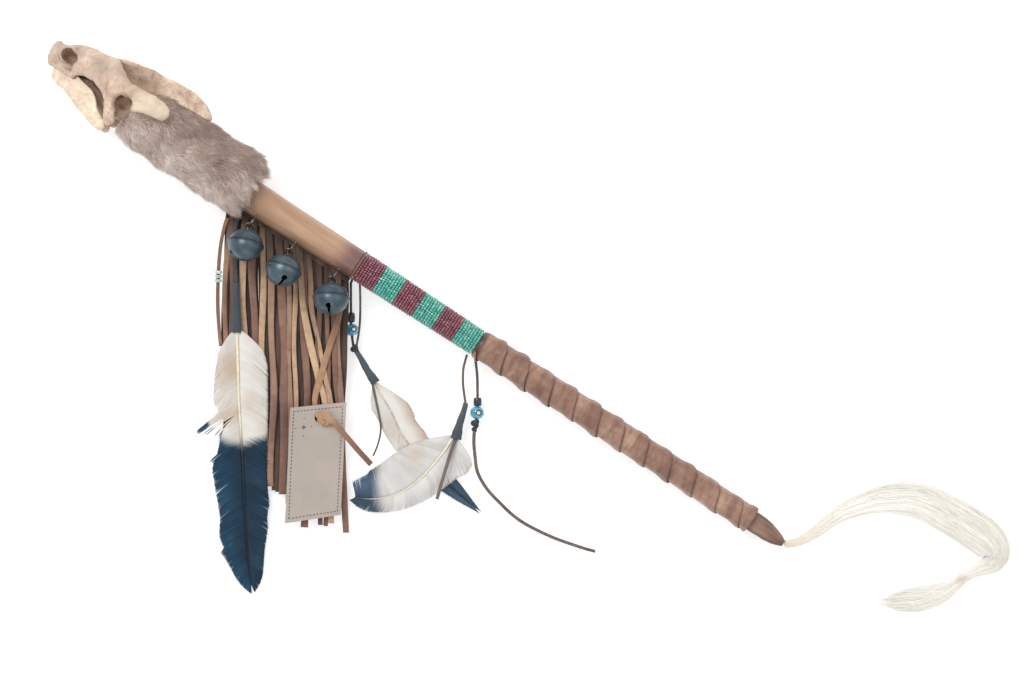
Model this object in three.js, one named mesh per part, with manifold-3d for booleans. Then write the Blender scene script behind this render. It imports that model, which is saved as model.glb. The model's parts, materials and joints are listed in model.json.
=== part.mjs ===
// A rattle stick: a tapered wooden staff with a turtle skull and a fur sleeve at its head, a leather fringe
// and three crotal bells below the bare wood, a bead-wrapped band, a spiral leather grip, two feather pendants
// and a hank of horsehair at the butt. It lies on its side on a table. Millimetres, +Z up.
//
// Everything is placed in the staff's own frame: x runs down the staff's axis from head to butt, and z points
// up from the table. The last lines lean that frame a little, because the skull is thicker than the butt.
import * as THREE from "three";
import { mergeVertices } from "three/addons/utils/BufferGeometryUtils.js";
import Module from "manifold-3d";

const wasm = await Module();
wasm.setup();

// ---------------------------------------------------------------- driving dimensions
const DEGREE = Math.PI / 180;
const HANG = 33 * DEGREE; // how far the fringe and pendants hang from square to the staff
const CLEARANCE = 0.3; // gap between pieces that touch

const STAFF_LENGTH = 537;
const FUR = { start: 24, end: 118, radius: 22 };
const WOOD_END = 202; // the bare wood stops at the collar
const BANDS = { start: 204.4, count: 6, length: 15.3, headRadius: 10.4, buttRadius: 9.3 };
const WRAP = { start: 297, end: 509, pitch: 18.5, width: 22.5, thickness: 0.8, begin: 153 * DEGREE };
const RADIUS = { head: 7, fur: 10.6, wood: 11.1, collar: 9.9, underBeads: 7.6, butt: 6.7 };

const SKULL = { snoutX: -42.2, snoutY: 7.1, pitch: 10.6 * DEGREE, halfWidth: 33 };
const TABLE_AT_HEAD = -34; // height of the table under the head of the staff
const TABLE_SLOPE = 0.0487; // the table rises this much per millimetre along the staff
const tableAt = (x) => TABLE_AT_HEAD + TABLE_SLOPE * x;

const FRINGE = { start: 111, end: 203, foldY: -12.4, foldZ: -6.4, slope: 5 * DEGREE, length: 160 };
const STRAND = { perBundle: 3, width: 4.6, thickness: 1.2, layerGap: 0.3 };
const BUNDLES = 4;
const MARGIN = { headReach: 2.6, buttReach: 3.6, to: 8.5, thickness: 1.2 };
const YOKE = { from: 9.6, to: 12.6 };

const BELL = { radius: 11.2, rim: 12.1, top: 10, bottom: 11, wall: 1, tilt: 5 * DEGREE };
const PELLET_RADIUS = 3.2;
const EYE = { ring: 3.2, wire: 0.8, shank: 7, distance: 14, lift: 9.2 };
const BELLS = [
  { x: 133.2, lean: 17 * DEGREE },
  { x: 164, lean: 17 * DEGREE },
  { x: 196.9, lean: 3 * DEGREE },
];

// The card's corners in plan, from the middle of its hole. It was cut out of square.
const TAG = { corners: [[-19.6, -4.9], [9.3, 18.4], [46.6, -46.2], [19, -71.2]], thickness: 0.6, hole: 3.2 };

// ---------------------------------------------------------------- looks
const COLOURS = {
  wood: [0xc49a6c, 0.45, 0],
  bone: [0xd9c7a3, 0.7, 0],
  fur: [0xa8968c, 1, 0],
  leather: [0xa9825c, 0.85, 0],
  darkLeather: [0x7d5a4b, 0.6, 0],
  wrapLeather: [0x8a6248, 0.55, 0],
  blackCord: [0x2f3338, 0.8, 0],
  brownCord: [0x6b5a50, 0.8, 0],
  bellPaint: [0x44596a, 0.4, 0.6],
  steel: [0xb8b8bc, 0.3, 1],
  burgundy: [0x7d4654, 0.35, 0],
  turquoise: [0x5fbfa5, 0.3, 0],
  eyeGlass: [0x3f93ad, 0.2, 0],
  clearGlass: [0xc5d6cd, 0.2, 0],
  feather: [0xe6e1d8, 0.8, 0],
  quill: [0xe8e0c4, 0.5, 0],
  card: [0xd3c8bc, 0.9, 0],
  hair: [0xece8da, 0.6, 0],
};

// ---------------------------------------------------------------- geometry helpers
const at = (x, y, z) => new THREE.Vector3(x, y, z);

const assembly = new THREE.Group(); // the staff's own frame

function add(name, look, geometry, parent = assembly) {
  const [color, roughness, metalness] = COLOURS[look];
  const mesh = new THREE.Mesh(geometry, new THREE.MeshStandardMaterial({ color, roughness, metalness }));
  mesh.name = name;
  parent.add(mesh);
  return mesh;
}

function toSolid(geometry) {
  const bare = new THREE.BufferGeometry().setAttribute("position", geometry.getAttribute("position"));
  if (geometry.index) bare.setIndex(geometry.index);
  const merged = mergeVertices(bare, 1e-4);
  const vertProperties = merged.attributes.position.array;
  const triVerts = new Uint32Array(merged.index.array);
  const solid = new wasm.Manifold(new wasm.Mesh({ numProp: 3, vertProperties, triVerts }));
  if (solid.volume() > 0) return solid;
  const turned = triVerts.map((_, i) => triVerts[i - (i % 3) + (2 - (i % 3))]);
  return new wasm.Manifold(new wasm.Mesh({ numProp: 3, vertProperties, triVerts: turned }));
}

function toGeometry(solid) {
  const { vertProperties, triVerts, numProp } = solid.getMesh();
  const positions = [];
  for (const i of triVerts) {
    positions.push(...vertProperties.subarray(i * numProp, i * numProp + 3));
  }
  return new THREE.BufferGeometry().setAttribute("position", new THREE.Float32BufferAttribute(positions, 3));
}

const outward = (geometry) => toGeometry(toSolid(geometry));
const join = (...geometries) => toGeometry(geometries.map(toSolid).reduce((a, b) => a.add(b)));
const cut = (geometry, ...tools) =>
  toGeometry(tools.map(toSolid).reduce((a, b) => a.subtract(b), toSolid(geometry)));

// A closed skin through rings of points, every ring with the same number of points, capped at both ends.
function loft(rings) {
  const n = rings[0].length;
  const points = rings.flat();
  const triangles = [];
  for (let r = 0; r + 1 < rings.length; r++) {
    for (let i = 0; i < n; i++) {
      const a = r * n + i;
      const b = r * n + ((i + 1) % n);
      triangles.push(a, b, a + n, b, b + n, a + n);
    }
  }
  for (const [start, flip] of [[0, true], [(rings.length - 1) * n, false]]) {
    for (let i = 1; i + 1 < n; i++) {
      triangles.push(start, start + (flip ? i + 1 : i), start + (flip ? i : i + 1));
    }
  }
  const geometry = new THREE.BufferGeometry().setFromPoints(points).setIndex(triangles);
  return outward(geometry);
}

// A solid of revolution about the staff's axis. The profile is a list of [radius, x].
function turned(profile, segments = 20) {
  const points = profile.map(([r, x]) => new THREE.Vector2(r, x));
  return outward(new THREE.LatheGeometry(points, segments, Math.PI / segments).rotateZ(-Math.PI / 2));
}

// A solid of revolution about its own Y axis. The profile is a list of [radius, height].
const spun = (profile, segments = 16) =>
  outward(new THREE.LatheGeometry(profile.map(([r, h]) => new THREE.Vector2(r, h)), segments));

// A round cord or quill through points, tapering from one radius to the other.
function cord(points, startRadius, endRadius = startRadius, steps = points.length * 3, sides = 6) {
  const path = new THREE.CatmullRomCurve3(points);
  const { normals, binormals } = path.computeFrenetFrames(steps);
  const rings = [];
  for (let s = 0; s <= steps; s++) {
    const radius = THREE.MathUtils.lerp(startRadius, endRadius, s / steps);
    const middle = path.getPointAt(s / steps);
    rings.push(Array.from({ length: sides }, (_, i) => {
      const turn = (2 * Math.PI * i) / sides;
      return middle.clone()
        .addScaledVector(normals[s], radius * Math.cos(turn))
        .addScaledVector(binormals[s], radius * Math.sin(turn));
    }));
  }
  return loft(rings);
}

// A flat strip through points, lying level. halfWidth(t) gives its half width from t = 0 to t = 1.
function strip(points, halfWidth, thickness, steps = points.length * 3) {
  const path = new THREE.CatmullRomCurve3(points);
  const rings = [];
  for (let s = 0; s <= steps; s++) {
    const middle = path.getPointAt(s / steps);
    const along = path.getTangentAt(s / steps).setZ(0).normalize();
    const aside = at(-along.y, along.x, 0).multiplyScalar(halfWidth(s / steps));
    rings.push([[-1, -1], [1, -1], [1, 1], [-1, 1]].map(([side, top]) =>
      middle.clone().addScaledVector(aside, side).add(at(0, 0, (top * thickness) / 2))));
  }
  return loft(rings);
}

// A bead or sleeve with a bore, standing on its own Y axis: barrel gives [height share, outer radius] pairs.
function bored(barrel, length, bore, segments = 12) {
  const outer = barrel.map(([share, radius]) => [radius, (share - 0.5) * length]);
  const inner = [[bore, length / 2], [bore, -length / 2]];
  return spun([...outer, ...inner, outer[0]], segments);
}

// Turns and moves a mesh so that its own Y axis runs from one point to another and its middle is between them.
function place(mesh, from, to) {
  const direction = to.clone().sub(from).normalize();
  mesh.quaternion.setFromUnitVectors(at(0, 1, 0), direction);
  mesh.position.copy(from).add(to).multiplyScalar(0.5);
  return mesh;
}

// A point hung from an anchor: drop runs the way the fringe hangs and aside runs square to that, to the right.
const hung = (anchor, aside, drop, z) => at(
  anchor.x + drop * Math.sin(HANG) + aside * Math.cos(HANG),
  anchor.y - drop * Math.cos(HANG) + aside * Math.sin(HANG),
  z,
);

// ---------------------------------------------------------------- staff and what is wound round it
function staff() {
  const butt = [];
  for (let i = 0; i <= 5; i++) {
    const turn = (i * 14.5) * DEGREE;
    butt.push([RADIUS.butt * Math.cos(turn), 511 + (STAFF_LENGTH - 511) * Math.sin(turn) / Math.sin(72.5 * DEGREE)]);
  }
  const wood = turned([
    [0, 0], [RADIUS.head, 0], [RADIUS.fur, 30], [RADIUS.wood, FUR.end - 6], [RADIUS.collar, WOOD_END],
    [RADIUS.underBeads, WOOD_END + 0.2], [RADIUS.underBeads, WRAP.start], ...butt,
    [1.7, STAFF_LENGTH], [1.7, STAFF_LENGTH - 14], [0, STAFF_LENGTH - 14],
  ]);
  const pilots = BELLS.map((bell) => {
    const { root, eye } = eyeAxis(bell);
    const hole = new THREE.CylinderGeometry(EYE.wire + CLEARANCE, EYE.wire + CLEARANCE, 16, 10);
    return place(new THREE.Mesh(hole), root, eye);
  });
  const holes = pilots.map((mesh) => {
    mesh.updateMatrix();
    return mesh.geometry.applyMatrix4(mesh.matrix);
  });
  add("staff", "wood", cut(wood, ...holes));
}

// A tube round the staff whose outside goes from one radius to another, with its ends softened.
function sleeveRound(start, end, bore, headRadius, buttRadius, soften = 0.4, segments = 20) {
  return turned([
    [bore, start], [headRadius - soften, start], [headRadius, start + soften],
    [buttRadius, end - soften], [buttRadius - soften, end], [bore, end], [bore, start],
  ], segments);
}

function beadwork() {
  const bore = RADIUS.underBeads + CLEARANCE;
  const end = BANDS.start + BANDS.count * BANDS.length;
  const backing = bore + 0.5;
  add("collar", "darkLeather", sleeveRound(WOOD_END + 0.4, BANDS.start - 0.2, RADIUS.underBeads + 0.6, 10.3, 10.4));
  add("bead_backing", "darkLeather", sleeveRound(BANDS.start, end - 0.2, bore, backing, backing, 0.1));
  const outer = (x) => THREE.MathUtils.mapLinear(x, BANDS.start, end, BANDS.headRadius, BANDS.buttRadius);
  for (let i = 0; i < BANDS.count; i++) {
    const from = BANDS.start + i * BANDS.length + 0.15;
    const to = from + BANDS.length - 0.3;
    const geometry = sleeveRound(from, to, backing + CLEARANCE, outer(from), outer(to), 0.4);
    add(`bead_band_${i + 1}`, i % 2 ? "turquoise" : "burgundy", geometry);
  }
}

// One strip wound down the grip. Its butt-side edge rides over the head-side edge of the next turn.
function gripWrap() {
  const stepsPerTurn = 14;
  const turns = (WRAP.end - WRAP.start - WRAP.width) / WRAP.pitch;
  const steps = Math.round(turns * stepsPerTurn);
  const wood = (x) => THREE.MathUtils.mapLinear(x, WRAP.start, 511, RADIUS.underBeads, RADIUS.butt);
  const overlap = 1 - (WRAP.width - WRAP.pitch) / WRAP.width;
  const rings = [];
  for (let s = 0; s <= steps; s++) {
    const turn = WRAP.begin + (s / stepsPerTurn) * 2 * Math.PI;
    const headEdge = WRAP.start + (s / stepsPerTurn) * WRAP.pitch;
    const point = (share, layer) => {
      const x = headEdge + share * WRAP.width;
      const lift = share > overlap - 0.05 ? WRAP.thickness + CLEARANCE : 0;
      const radius = wood(x) + 0.35 + lift + layer * WRAP.thickness;
      return at(x, radius * Math.cos(turn), radius * Math.sin(turn));
    };
    const shares = [0, overlap - 0.16, overlap, 1];
    rings.push([...shares.map((v) => point(v, 1)), ...shares.reverse().map((v) => point(v, 0))]);
  }
  add("grip_wrap", "wrapLeather", loft(rings));
}

function furSleeve() {
  const bore = RADIUS.wood + CLEARANCE;
  const { start, end, radius } = FUR;
  const sleeve = turned([
    [bore, start], [12.6, start], [16.5, start + 8], [radius - 2, start + 22], [radius, start + 48],
    [radius, end - 14],
    [radius - 3, end - 4], [16, end], [bore, end], [bore, start],
  ], 20);
  add("fur_sleeve", "fur", sleeve);
}

// ---------------------------------------------------------------- skull
// Skull frame: x from the snout to the back, y up through the crown, z to the skull's left, towards the viewer.
const skull = new THREE.Group();
skull.position.set(SKULL.snoutX, SKULL.snoutY, 0);
skull.rotation.z = SKULL.pitch;
assembly.add(skull);

// A rounded section square to x, between two heights and centred at z.
function section(x, top, bottom, halfWidth, z = 0, corners = 12) {
  return Array.from({ length: corners }, (_, i) => {
    const turn = (2 * Math.PI * i) / corners;
    return at(x, (top + bottom) / 2 + ((top - bottom) / 2) * Math.sin(turn), z + halfWidth * Math.cos(turn));
  });
}

const lump = (x, y, z, rx, ry, rz, detail = 10) =>
  new THREE.SphereGeometry(1, detail, Math.round(detail * 0.7)).scale(rx, ry, rz).translate(x, y, z);

function cranium() {
  const braincase = loft([
    section(0.5, 4, -4, 5), section(3, 9, -7, 8), section(10, 9.5, -7.5, 12), section(18, 12, -7.5, 16),
    section(27, 13.5, -6.5, 20), section(36, 12.8, -6.5, 22), section(45, 13.2, -8, 19),
    section(55, 14.2, -7, 14), section(66, 14, -6, 9), section(72, 12, -2, 4),
  ]);
  const cheek = (side) => loft([
    section(24, 6, -6, 3, 16 * side, 8), section(36, 5, -8, 4.5, 23.5 * side, 8),
    section(46, 2, -20, 5, 27 * side, 8), section(54, -1, -28, 5, 28 * side, 8),
    section(60, -1, -22, 5, 28 * side, 8), section(66, -0.5, -15.5, 4.5, 27.5 * side, 8),
    section(76, -1, -14, 4.5, 25 * side, 8), section(84, -4, -13.5, 4, 23.5 * side, 8),
    section(87.5, -8, -11.5, 2, 22.5 * side, 8),
  ]);
  const blade = new THREE.Shape();
  blade.moveTo(58, 13.8);
  blade.bezierCurveTo(76, 15.5, 108, 14, 113.5, 0);
  blade.bezierCurveTo(112, -5, 96, -1, 60, 1);
  const crest = new THREE.ExtrudeGeometry(blade, { depth: 4, bevelEnabled: false, curveSegments: 8 });
  crest.translate(0, 0, -2);
  const sides = [-1, 1];
  add("cranium", "bone", cut(
    join(braincase, crest, ...sides.map(cheek), ...sides.map((s) => lump(55, -6, 19 * s, 8, 5.5, 11))),
    ...sides.map((s) => lump(13.3, 2.8, 15 * s, 4.8, 3.4, 8, 10)),
    ...sides.map((s) => lump(59.5, -13, 34 * s, 4.6, 6.4, 7, 10)),
    lump(0, 1, 0, 4, 3.6, 5, 10),
    lump(34, -12, 0, 20, 7, 10, 12),
  ), skull);
}

function lowerJaw() {
  const ramus = (side) => loft([
    section(7.4, -9.5, -13.6, 3.4, 0, 8), section(14, -9.4, -17, 4.4, 6 * side, 8),
    section(22, -9, -20.8, 3.4, 12 * side, 8), section(31, -11.4, -26, 3, 17.5 * side, 8),
    section(40, -17.6, -31, 2.8, 22.5 * side, 8), section(48, -25.6, -34, 2.8, 26.5 * side, 8),
    section(50.6, -30, -33.8, 2.2, 27.5 * side, 8),
  ]);
  add("lower_jaw", "bone", join(ramus(1), ramus(-1)), skull);
}

// ---------------------------------------------------------------- fringe
const slopeDrop = (d) => FRINGE.foldZ - d * Math.tan(FRINGE.slope);

// Tilts a plate drawn in the x-y plane, with y = 0 on the fold line, down towards the table.
function slopedPlate(shape, bottom, thickness) {
  const plate = new THREE.ExtrudeGeometry(shape, { depth: thickness, bevelEnabled: false });
  return plate.translate(0, 0, bottom).rotateX(FRINGE.slope).translate(0, FRINGE.foldY, FRINGE.foldZ);
}

// A comb: a yoke along the fold line with strands that hang from it.
function comb(from, to, centres) {
  const lean = Math.tan(HANG);
  const half = STRAND.width / 2;
  const cos = Math.cos(HANG);
  const sin = Math.sin(HANG);
  const shape = new THREE.Shape([new THREE.Vector2(from + YOKE.from * lean, -YOKE.from)]);
  shape.lineTo(from + YOKE.to * lean, -YOKE.to);
  for (const x of centres) {
    shape.lineTo(x + YOKE.to * lean - half / cos, -YOKE.to);
    shape.lineTo(x + FRINGE.length * sin - half * cos, -FRINGE.length * cos - half * sin);
    shape.lineTo(x + FRINGE.length * sin + half * cos, -FRINGE.length * cos + half * sin);
    shape.lineTo(x + YOKE.to * lean + half / cos, -YOKE.to);
  }
  shape.lineTo(to + YOKE.to * lean, -YOKE.to);
  shape.lineTo(to + YOKE.from * lean, -YOKE.from);
  return shape;
}

function fringe() {
  const arc = [200, 208, 216, 224, 232, 240, 248].map((degrees) => degrees * DEGREE);
  const wood = (x) => THREE.MathUtils.mapLinear(x, FUR.end - 6, WOOD_END, RADIUS.wood, RADIUS.collar);
  const ring = (x) => [
    ...arc.map((a) => at(x, (wood(x) + CLEARANCE) * Math.cos(a), (wood(x) + CLEARANCE) * Math.sin(a))),
    ...arc.toReversed().map((a) => at(x, (wood(x) + 1.5) * Math.cos(a), (wood(x) + 1.5) * Math.sin(a))),
  ];

  const lean = Math.tan(HANG);
  const margin = new THREE.Shape([
    new THREE.Vector2(FUR.end + 1.4, MARGIN.headReach),
    new THREE.Vector2(FUR.end + 1.4, -5),
    new THREE.Vector2(FRINGE.start + MARGIN.to * lean, -MARGIN.to),
    new THREE.Vector2(FRINGE.end + MARGIN.to * lean, -MARGIN.to),
    new THREE.Vector2(FRINGE.end - 3, MARGIN.buttReach),
  ]);
  add("fringe_header", "leather", join(
    loft([ring(FUR.end + 1), ring(FRINGE.end - 4)]),
    slopedPlate(margin, -MARGIN.thickness / 2, MARGIN.thickness),
  ));

  const span = (FRINGE.end - FRINGE.start) / BUNDLES;
  const pitch = span / STRAND.perBundle;
  const { thickness, layerGap } = STRAND;
  for (let b = 0; b < BUNDLES; b++) {
    const from = FRINGE.start + b * span + 0.5;
    const to = from + span - 1;
    const front = Array.from({ length: STRAND.perBundle }, (_, i) => from + (i + 0.45) * pitch);
    const back = front.map((x) => x - pitch * 0.02);
    const yoke = comb(from, to, []);
    add(`fringe_bundle_${b + 1}`, "leather", join(
      slopedPlate(comb(from, to, front), layerGap / 2, thickness),
      slopedPlate(comb(from, to, back), -layerGap / 2 - thickness, thickness),
      slopedPlate(yoke, -layerGap / 2 - thickness / 2, layerGap + thickness),
    ));
  }
}

// A narrow thong at the fringe's left edge, with a short stack of glass beads on it.
function beadedThong() {
  const anchor = at(FRINGE.start, FRINGE.foldY, 0);
  const height = (d) => slopeDrop(d * Math.cos(HANG));
  const knots = [[-1.6, 13], [-3.2, 28], [-4.6, 46], [-5.6, 66], [-5.4, 84]];
  const points = knots.map(([aside, drop]) => hung(anchor, aside, drop, height(drop) + 2.7));
  add("beaded_thong", "leather", cord(points, 0.8, 0.8, 10));
  const path = new THREE.CatmullRomCurve3(points);
  const bead = bored([[0, 1.5], [0.2, 1.9], [0.4, 1.5], [0.6, 1.9], [0.8, 1.5], [1, 1.5]], 8.5, 1.15, 10);
  place(add("glass_bead", "clearGlass", bead), path.getPointAt(0.4), path.getPointAt(0.5));
}

// ---------------------------------------------------------------- bells
// The wood screw's axis: from inside the staff out to the middle of the eye's ring.
function eyeAxis({ x }) {
  const eye = at(x - 3.2, -EYE.distance, EYE.lift);
  const inward = at(0, EYE.distance, -EYE.lift).normalize();
  return { eye, inward, root: eye.clone().addScaledVector(inward, EYE.ring + EYE.shank) };
}

// The way a bell hangs, from its loop to its mouth.
function bellAxis({ lean }) {
  const turn = HANG - lean;
  const flat = at(Math.sin(turn), -Math.cos(turn), 0);
  return flat.multiplyScalar(Math.cos(BELL.tilt)).setZ(Math.sin(BELL.tilt));
}

function bell(spec, number) {
  const { eye, inward } = eyeAxis(spec);
  const outwards = inward.clone().negate();
  const across = at(1, 0, 0);
  const ring = new THREE.TorusGeometry(EYE.ring, EYE.wire, 6, 12).rotateY(Math.PI / 2);
  const shank = new THREE.CylinderGeometry(EYE.wire, EYE.wire, EYE.shank, 8);
  shank.translate(0, -EYE.ring - EYE.shank / 2 + 0.4, 0);
  const screw = add(`screw_eye_${number}`, "steel", join(ring, shank));
  screw.quaternion.setFromRotationMatrix(
    new THREE.Matrix4().makeBasis(across, outwards, across.clone().cross(outwards)),
  );
  screw.position.copy(eye);

  const hang = bellAxis(spec);
  const pivot = eye.clone().addScaledVector(outwards, EYE.ring);
  const body = new THREE.Group();
  const up = hang.clone().negate();
  const side = at(0, 0, 1).cross(up).normalize();
  body.quaternion.setFromRotationMatrix(new THREE.Matrix4().makeBasis(side, up, side.clone().cross(up)));
  const loopRadius = 2.4;
  body.position.copy(pivot).addScaledVector(hang, loopRadius * 2 + BELL.top - 2.2);
  assembly.add(body);

  const loop = new THREE.TorusGeometry(loopRadius, 0.6, 6, 12);
  add(`bell_${number}_loop`, "steel", outward(loop.translate(0, BELL.top + loopRadius + 0.9, 0)), body);
  const dome = (height, inset, sign) => Array.from({ length: 5 }, (_, i) => {
    const turn = (i / 4) * 90 * DEGREE;
    return [(BELL.radius - inset) * Math.cos(turn), sign * (0.7 + (height - inset - 0.7) * Math.sin(turn))];
  });
  const half = (height, sign) => spun([
    [BELL.radius - BELL.wall, sign * 0.15], [BELL.rim, sign * 0.15], [BELL.rim, sign * 0.9],
    ...dome(height, 0, sign), ...dome(height, BELL.wall, sign).reverse(),
    [BELL.radius - BELL.wall, sign * 0.15],
  ], 16);
  add(`bell_${number}_upper_shell`, "bellPaint", half(BELL.top, 1), body);

  const slot = new THREE.BoxGeometry(1.8, 12, 15).translate(0, -BELL.bottom, 0);
  const holes = [-1, 1].map((s) =>
    new THREE.CylinderGeometry(1.9, 1.9, 8, 10).rotateX(s * 50 * DEGREE)
      .translate(0, -BELL.bottom * 0.66, s * BELL.radius * 0.76));
  add(`bell_${number}_lower_shell`, "bellPaint", cut(half(BELL.bottom, -1), slot, ...holes), body);

  const roll = BELL.radius - BELL.wall - PELLET_RADIUS - 0.6;
  const pellet = new THREE.SphereGeometry(PELLET_RADIUS, 10, 7).translate(0, -0.4, 0);
  const ball = add(`bell_${number}_pellet`, "steel", outward(pellet), body);
  ball.position.copy(at(0, 0, -roll).applyQuaternion(body.quaternion.clone().invert()).setY(0).setLength(roll));
}

// ---------------------------------------------------------------- feathers
// A sleeve over a quill's end, the quill and the flat vane under it, all riding the same curve.
function feather(name, sleeveTop, sleeveEnd, curve, halfWidth, { sleeveLook, vaneDrop = 0.95 } = {}) {
  const length = sleeveTop.distanceTo(sleeveEnd);
  const sleeve = bored([[0, 2.6], [0.5, 2], [1, 1.7]], length, 1.25, 10);
  place(add(`${name}_sleeve`, sleeveLook ?? "blackCord", sleeve), sleeveEnd, sleeveTop);
  const into = sleeveTop.clone().lerp(sleeveEnd, 0.55);
  add(`${name}_quill`, "quill", cord([into, sleeveEnd, ...curve], 0.9, 0.45, 18));
  const vane = curve.map((p) => p.clone().setZ(p.z - vaneDrop - 0.45));
  add(`${name}_vane`, "feather", strip(vane, halfWidth, 0.6, 16));
}

const vaneShape = (width, base = 0.25) => (t) =>
  width * Math.min(1, base + t * 5, 0.12 + Math.sqrt(Math.max(0, 1 - t)) * 1.6);

function longFeather() {
  const anchor = at(FRINGE.start + 9.6, -11.9, 0);
  const lie = (aside, drop, lift) => {
    const p = hung(anchor, aside, drop, 0);
    return p.setZ(slopeDrop(Math.max(0, FRINGE.foldY - p.y)) + lift);
  };
  const line = [[0, 1.5], [-3.9, 9.2], [-4.6, 29.5], [-3.9, 46.5]];
  add("long_feather_cord", "blackCord", cord(line.map(([a, d]) => lie(a, d, 2.7)), 0.8));
  const curve = [[-3.8, 80], [-2.6, 123], [0, 169], [2.6, 214], [4.6, 246]].map(([a, d]) => lie(a, d, 4.6));
  feather("long_feather", lie(-3.9, 48, 4.6), lie(-3.9, 78, 4.6), curve, vaneShape(18));
}

// ---------------------------------------------------------------- pendants by the beadwork
const onTable = (anchor, aside, drop, lift) => {
  const p = hung(anchor, aside, drop, 0);
  return p.setZ(tableAt(p.x) + lift);
};

const BLACK_BEAD = [[0, 1.9], [0.2, 2.5], [0.8, 2.5], [1, 1.9]];
const EYE_BEAD = [[0, 2.2], [0.18, 3.7], [0.5, 4.3], [0.82, 3.7], [1, 2.2]];

function leftPendant() {
  const anchor = at(205.5, -12.4, 0);
  const drape = (aside, drop) => {
    const p = onTable(anchor, aside, drop, 4.6);
    return p.setZ(THREE.MathUtils.lerp(-6.5, p.z, Math.min(1, drop / 24)));
  };
  const beaded = [[0, 0], [0, 12], [0.1, 24], [0.3, 30.8], [1.4, 40.4]].map(([a, d]) => drape(a, d));
  add("left_pendant_beaded_cord", "blackCord", cord(beaded, 0.75));
  const plain = [[5.9, 0], [5.9, 14], [5.8, 27.5], [4.1, 39.6]].map(([a, d]) => drape(a, d));
  add("left_pendant_plain_cord", "brownCord", cord(plain, 0.75));
  const path = new THREE.CatmullRomCurve3(beaded);
  const black = bored(BLACK_BEAD, 5, 1.1, 10);
  place(add("left_pendant_black_bead", "blackCord", black), path.getPointAt(0.53), path.getPointAt(0.67));
  const blue = bored(EYE_BEAD, 7.6, 1.25, 14);
  place(add("left_pendant_eye_bead", "eyeGlass", blue), path.getPointAt(0.71), path.getPointAt(0.87));
  const knot = drape(2.6, 43.6);
  add("left_pendant_knot", "blackCord", outward(lump(knot.x, knot.y, knot.z, 2.7, 2.7, 2.4)));

  const lift = 2.9;
  const curve = [[16.8, 68], [26.2, 83.8], [35.4, 102.5], [51.7, 122.5], [68.1, 136.9], [82, 148.6]];
  feather(
    "left_feather", drape(4.2, 46.6).setZ(drape(4.2, 46.6).z - 1), onTable(anchor, 16, 65, lift),
    curve.map(([a, d]) => onTable(anchor, a, d, lift)), vaneShape(12),
  );
  const tail = [[14.4, 68.5], [17.6, 83], [19.2, 96], [17.6, 106], [15.4, 112.7]];
  add("left_feather_tail", "brownCord", cord(tail.map(([a, d]) => onTable(anchor, a, d, 5.2)), 0.6));
}

function rightPendant() {
  const anchor = at(295.5, -12, 0);
  const drape = (aside, drop, lift = 4.9) => {
    const p = onTable(anchor, aside, drop, lift);
    return p.setZ(THREE.MathUtils.lerp(-5, p.z, Math.min(1, Math.max(0, drop) / 22)));
  };
  const left = [[0, 0], [-2, 8.5], [-2, 18.3], [-0.4, 30.6]].map(([a, d]) => drape(a, d, 7.2));
  add("right_pendant_plain_cord", "brownCord", cord(left, 0.8));
  const beaded = [
    [5.9, 2.6], [7.2, 11.8], [7.6, 22], [7.6, 30], [7.4, 38], [5.8, 46], [5.2, 56], [6, 66],
    [7.6, 76], [19.7, 93.7], [34.7, 107.4], [54.4, 117.9], [74, 125.1], [85.2, 128.4],
  ];
  const line = beaded.map(([a, d]) => drape(a, d, d < 50 ? 4.9 : THREE.MathUtils.lerp(4.9, 1.2, Math.min(1, (d - 50) / 40))));
  add("right_pendant_beaded_cord", "brownCord", cord(line, 0.75, 0.6, 40));
  const path = new THREE.CatmullRomCurve3(line);
  const total = path.getLength();
  const thread = (name, look, geometry, from, length) =>
    place(add(name, look, geometry), path.getPointAt(from / total), path.getPointAt((from + length) / total));
  thread("right_pendant_black_bead", "blackCord", bored(BLACK_BEAD, 5, 1.25, 10), 28, 5);
  thread("right_pendant_eye_bead", "eyeGlass", bored(EYE_BEAD, 8, 1.35, 14), 33.6, 8);
  thread("right_pendant_knot", "blackCord", bored([[0, 1.6], [0.4, 2], [0.8, 2.9], [1, 2]], 8, 1.35, 10), 42.2, 8);

  const lift = 6.6;
  const curve = [[-9.4, 56], [-24.9, 74.7], [-41.4, 88.3], [-49.8, 92.4], [-64, 93], [-74, 88]];
  feather(
    "right_feather", drape(0, 31.6, 7.2), onTable(anchor, -6.6, 52.4, lift),
    curve.map(([a, d]) => onTable(anchor, a, d, lift)), vaneShape(17),
  );
  const tail = [[-6.4, 55.4], [-12.2, 68.8], [-18.7, 90.4]];
  add("right_feather_tail", "brownCord", cord(tail.map(([a, d]) => onTable(anchor, a, d, 9.4)), 0.9));
}

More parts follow.
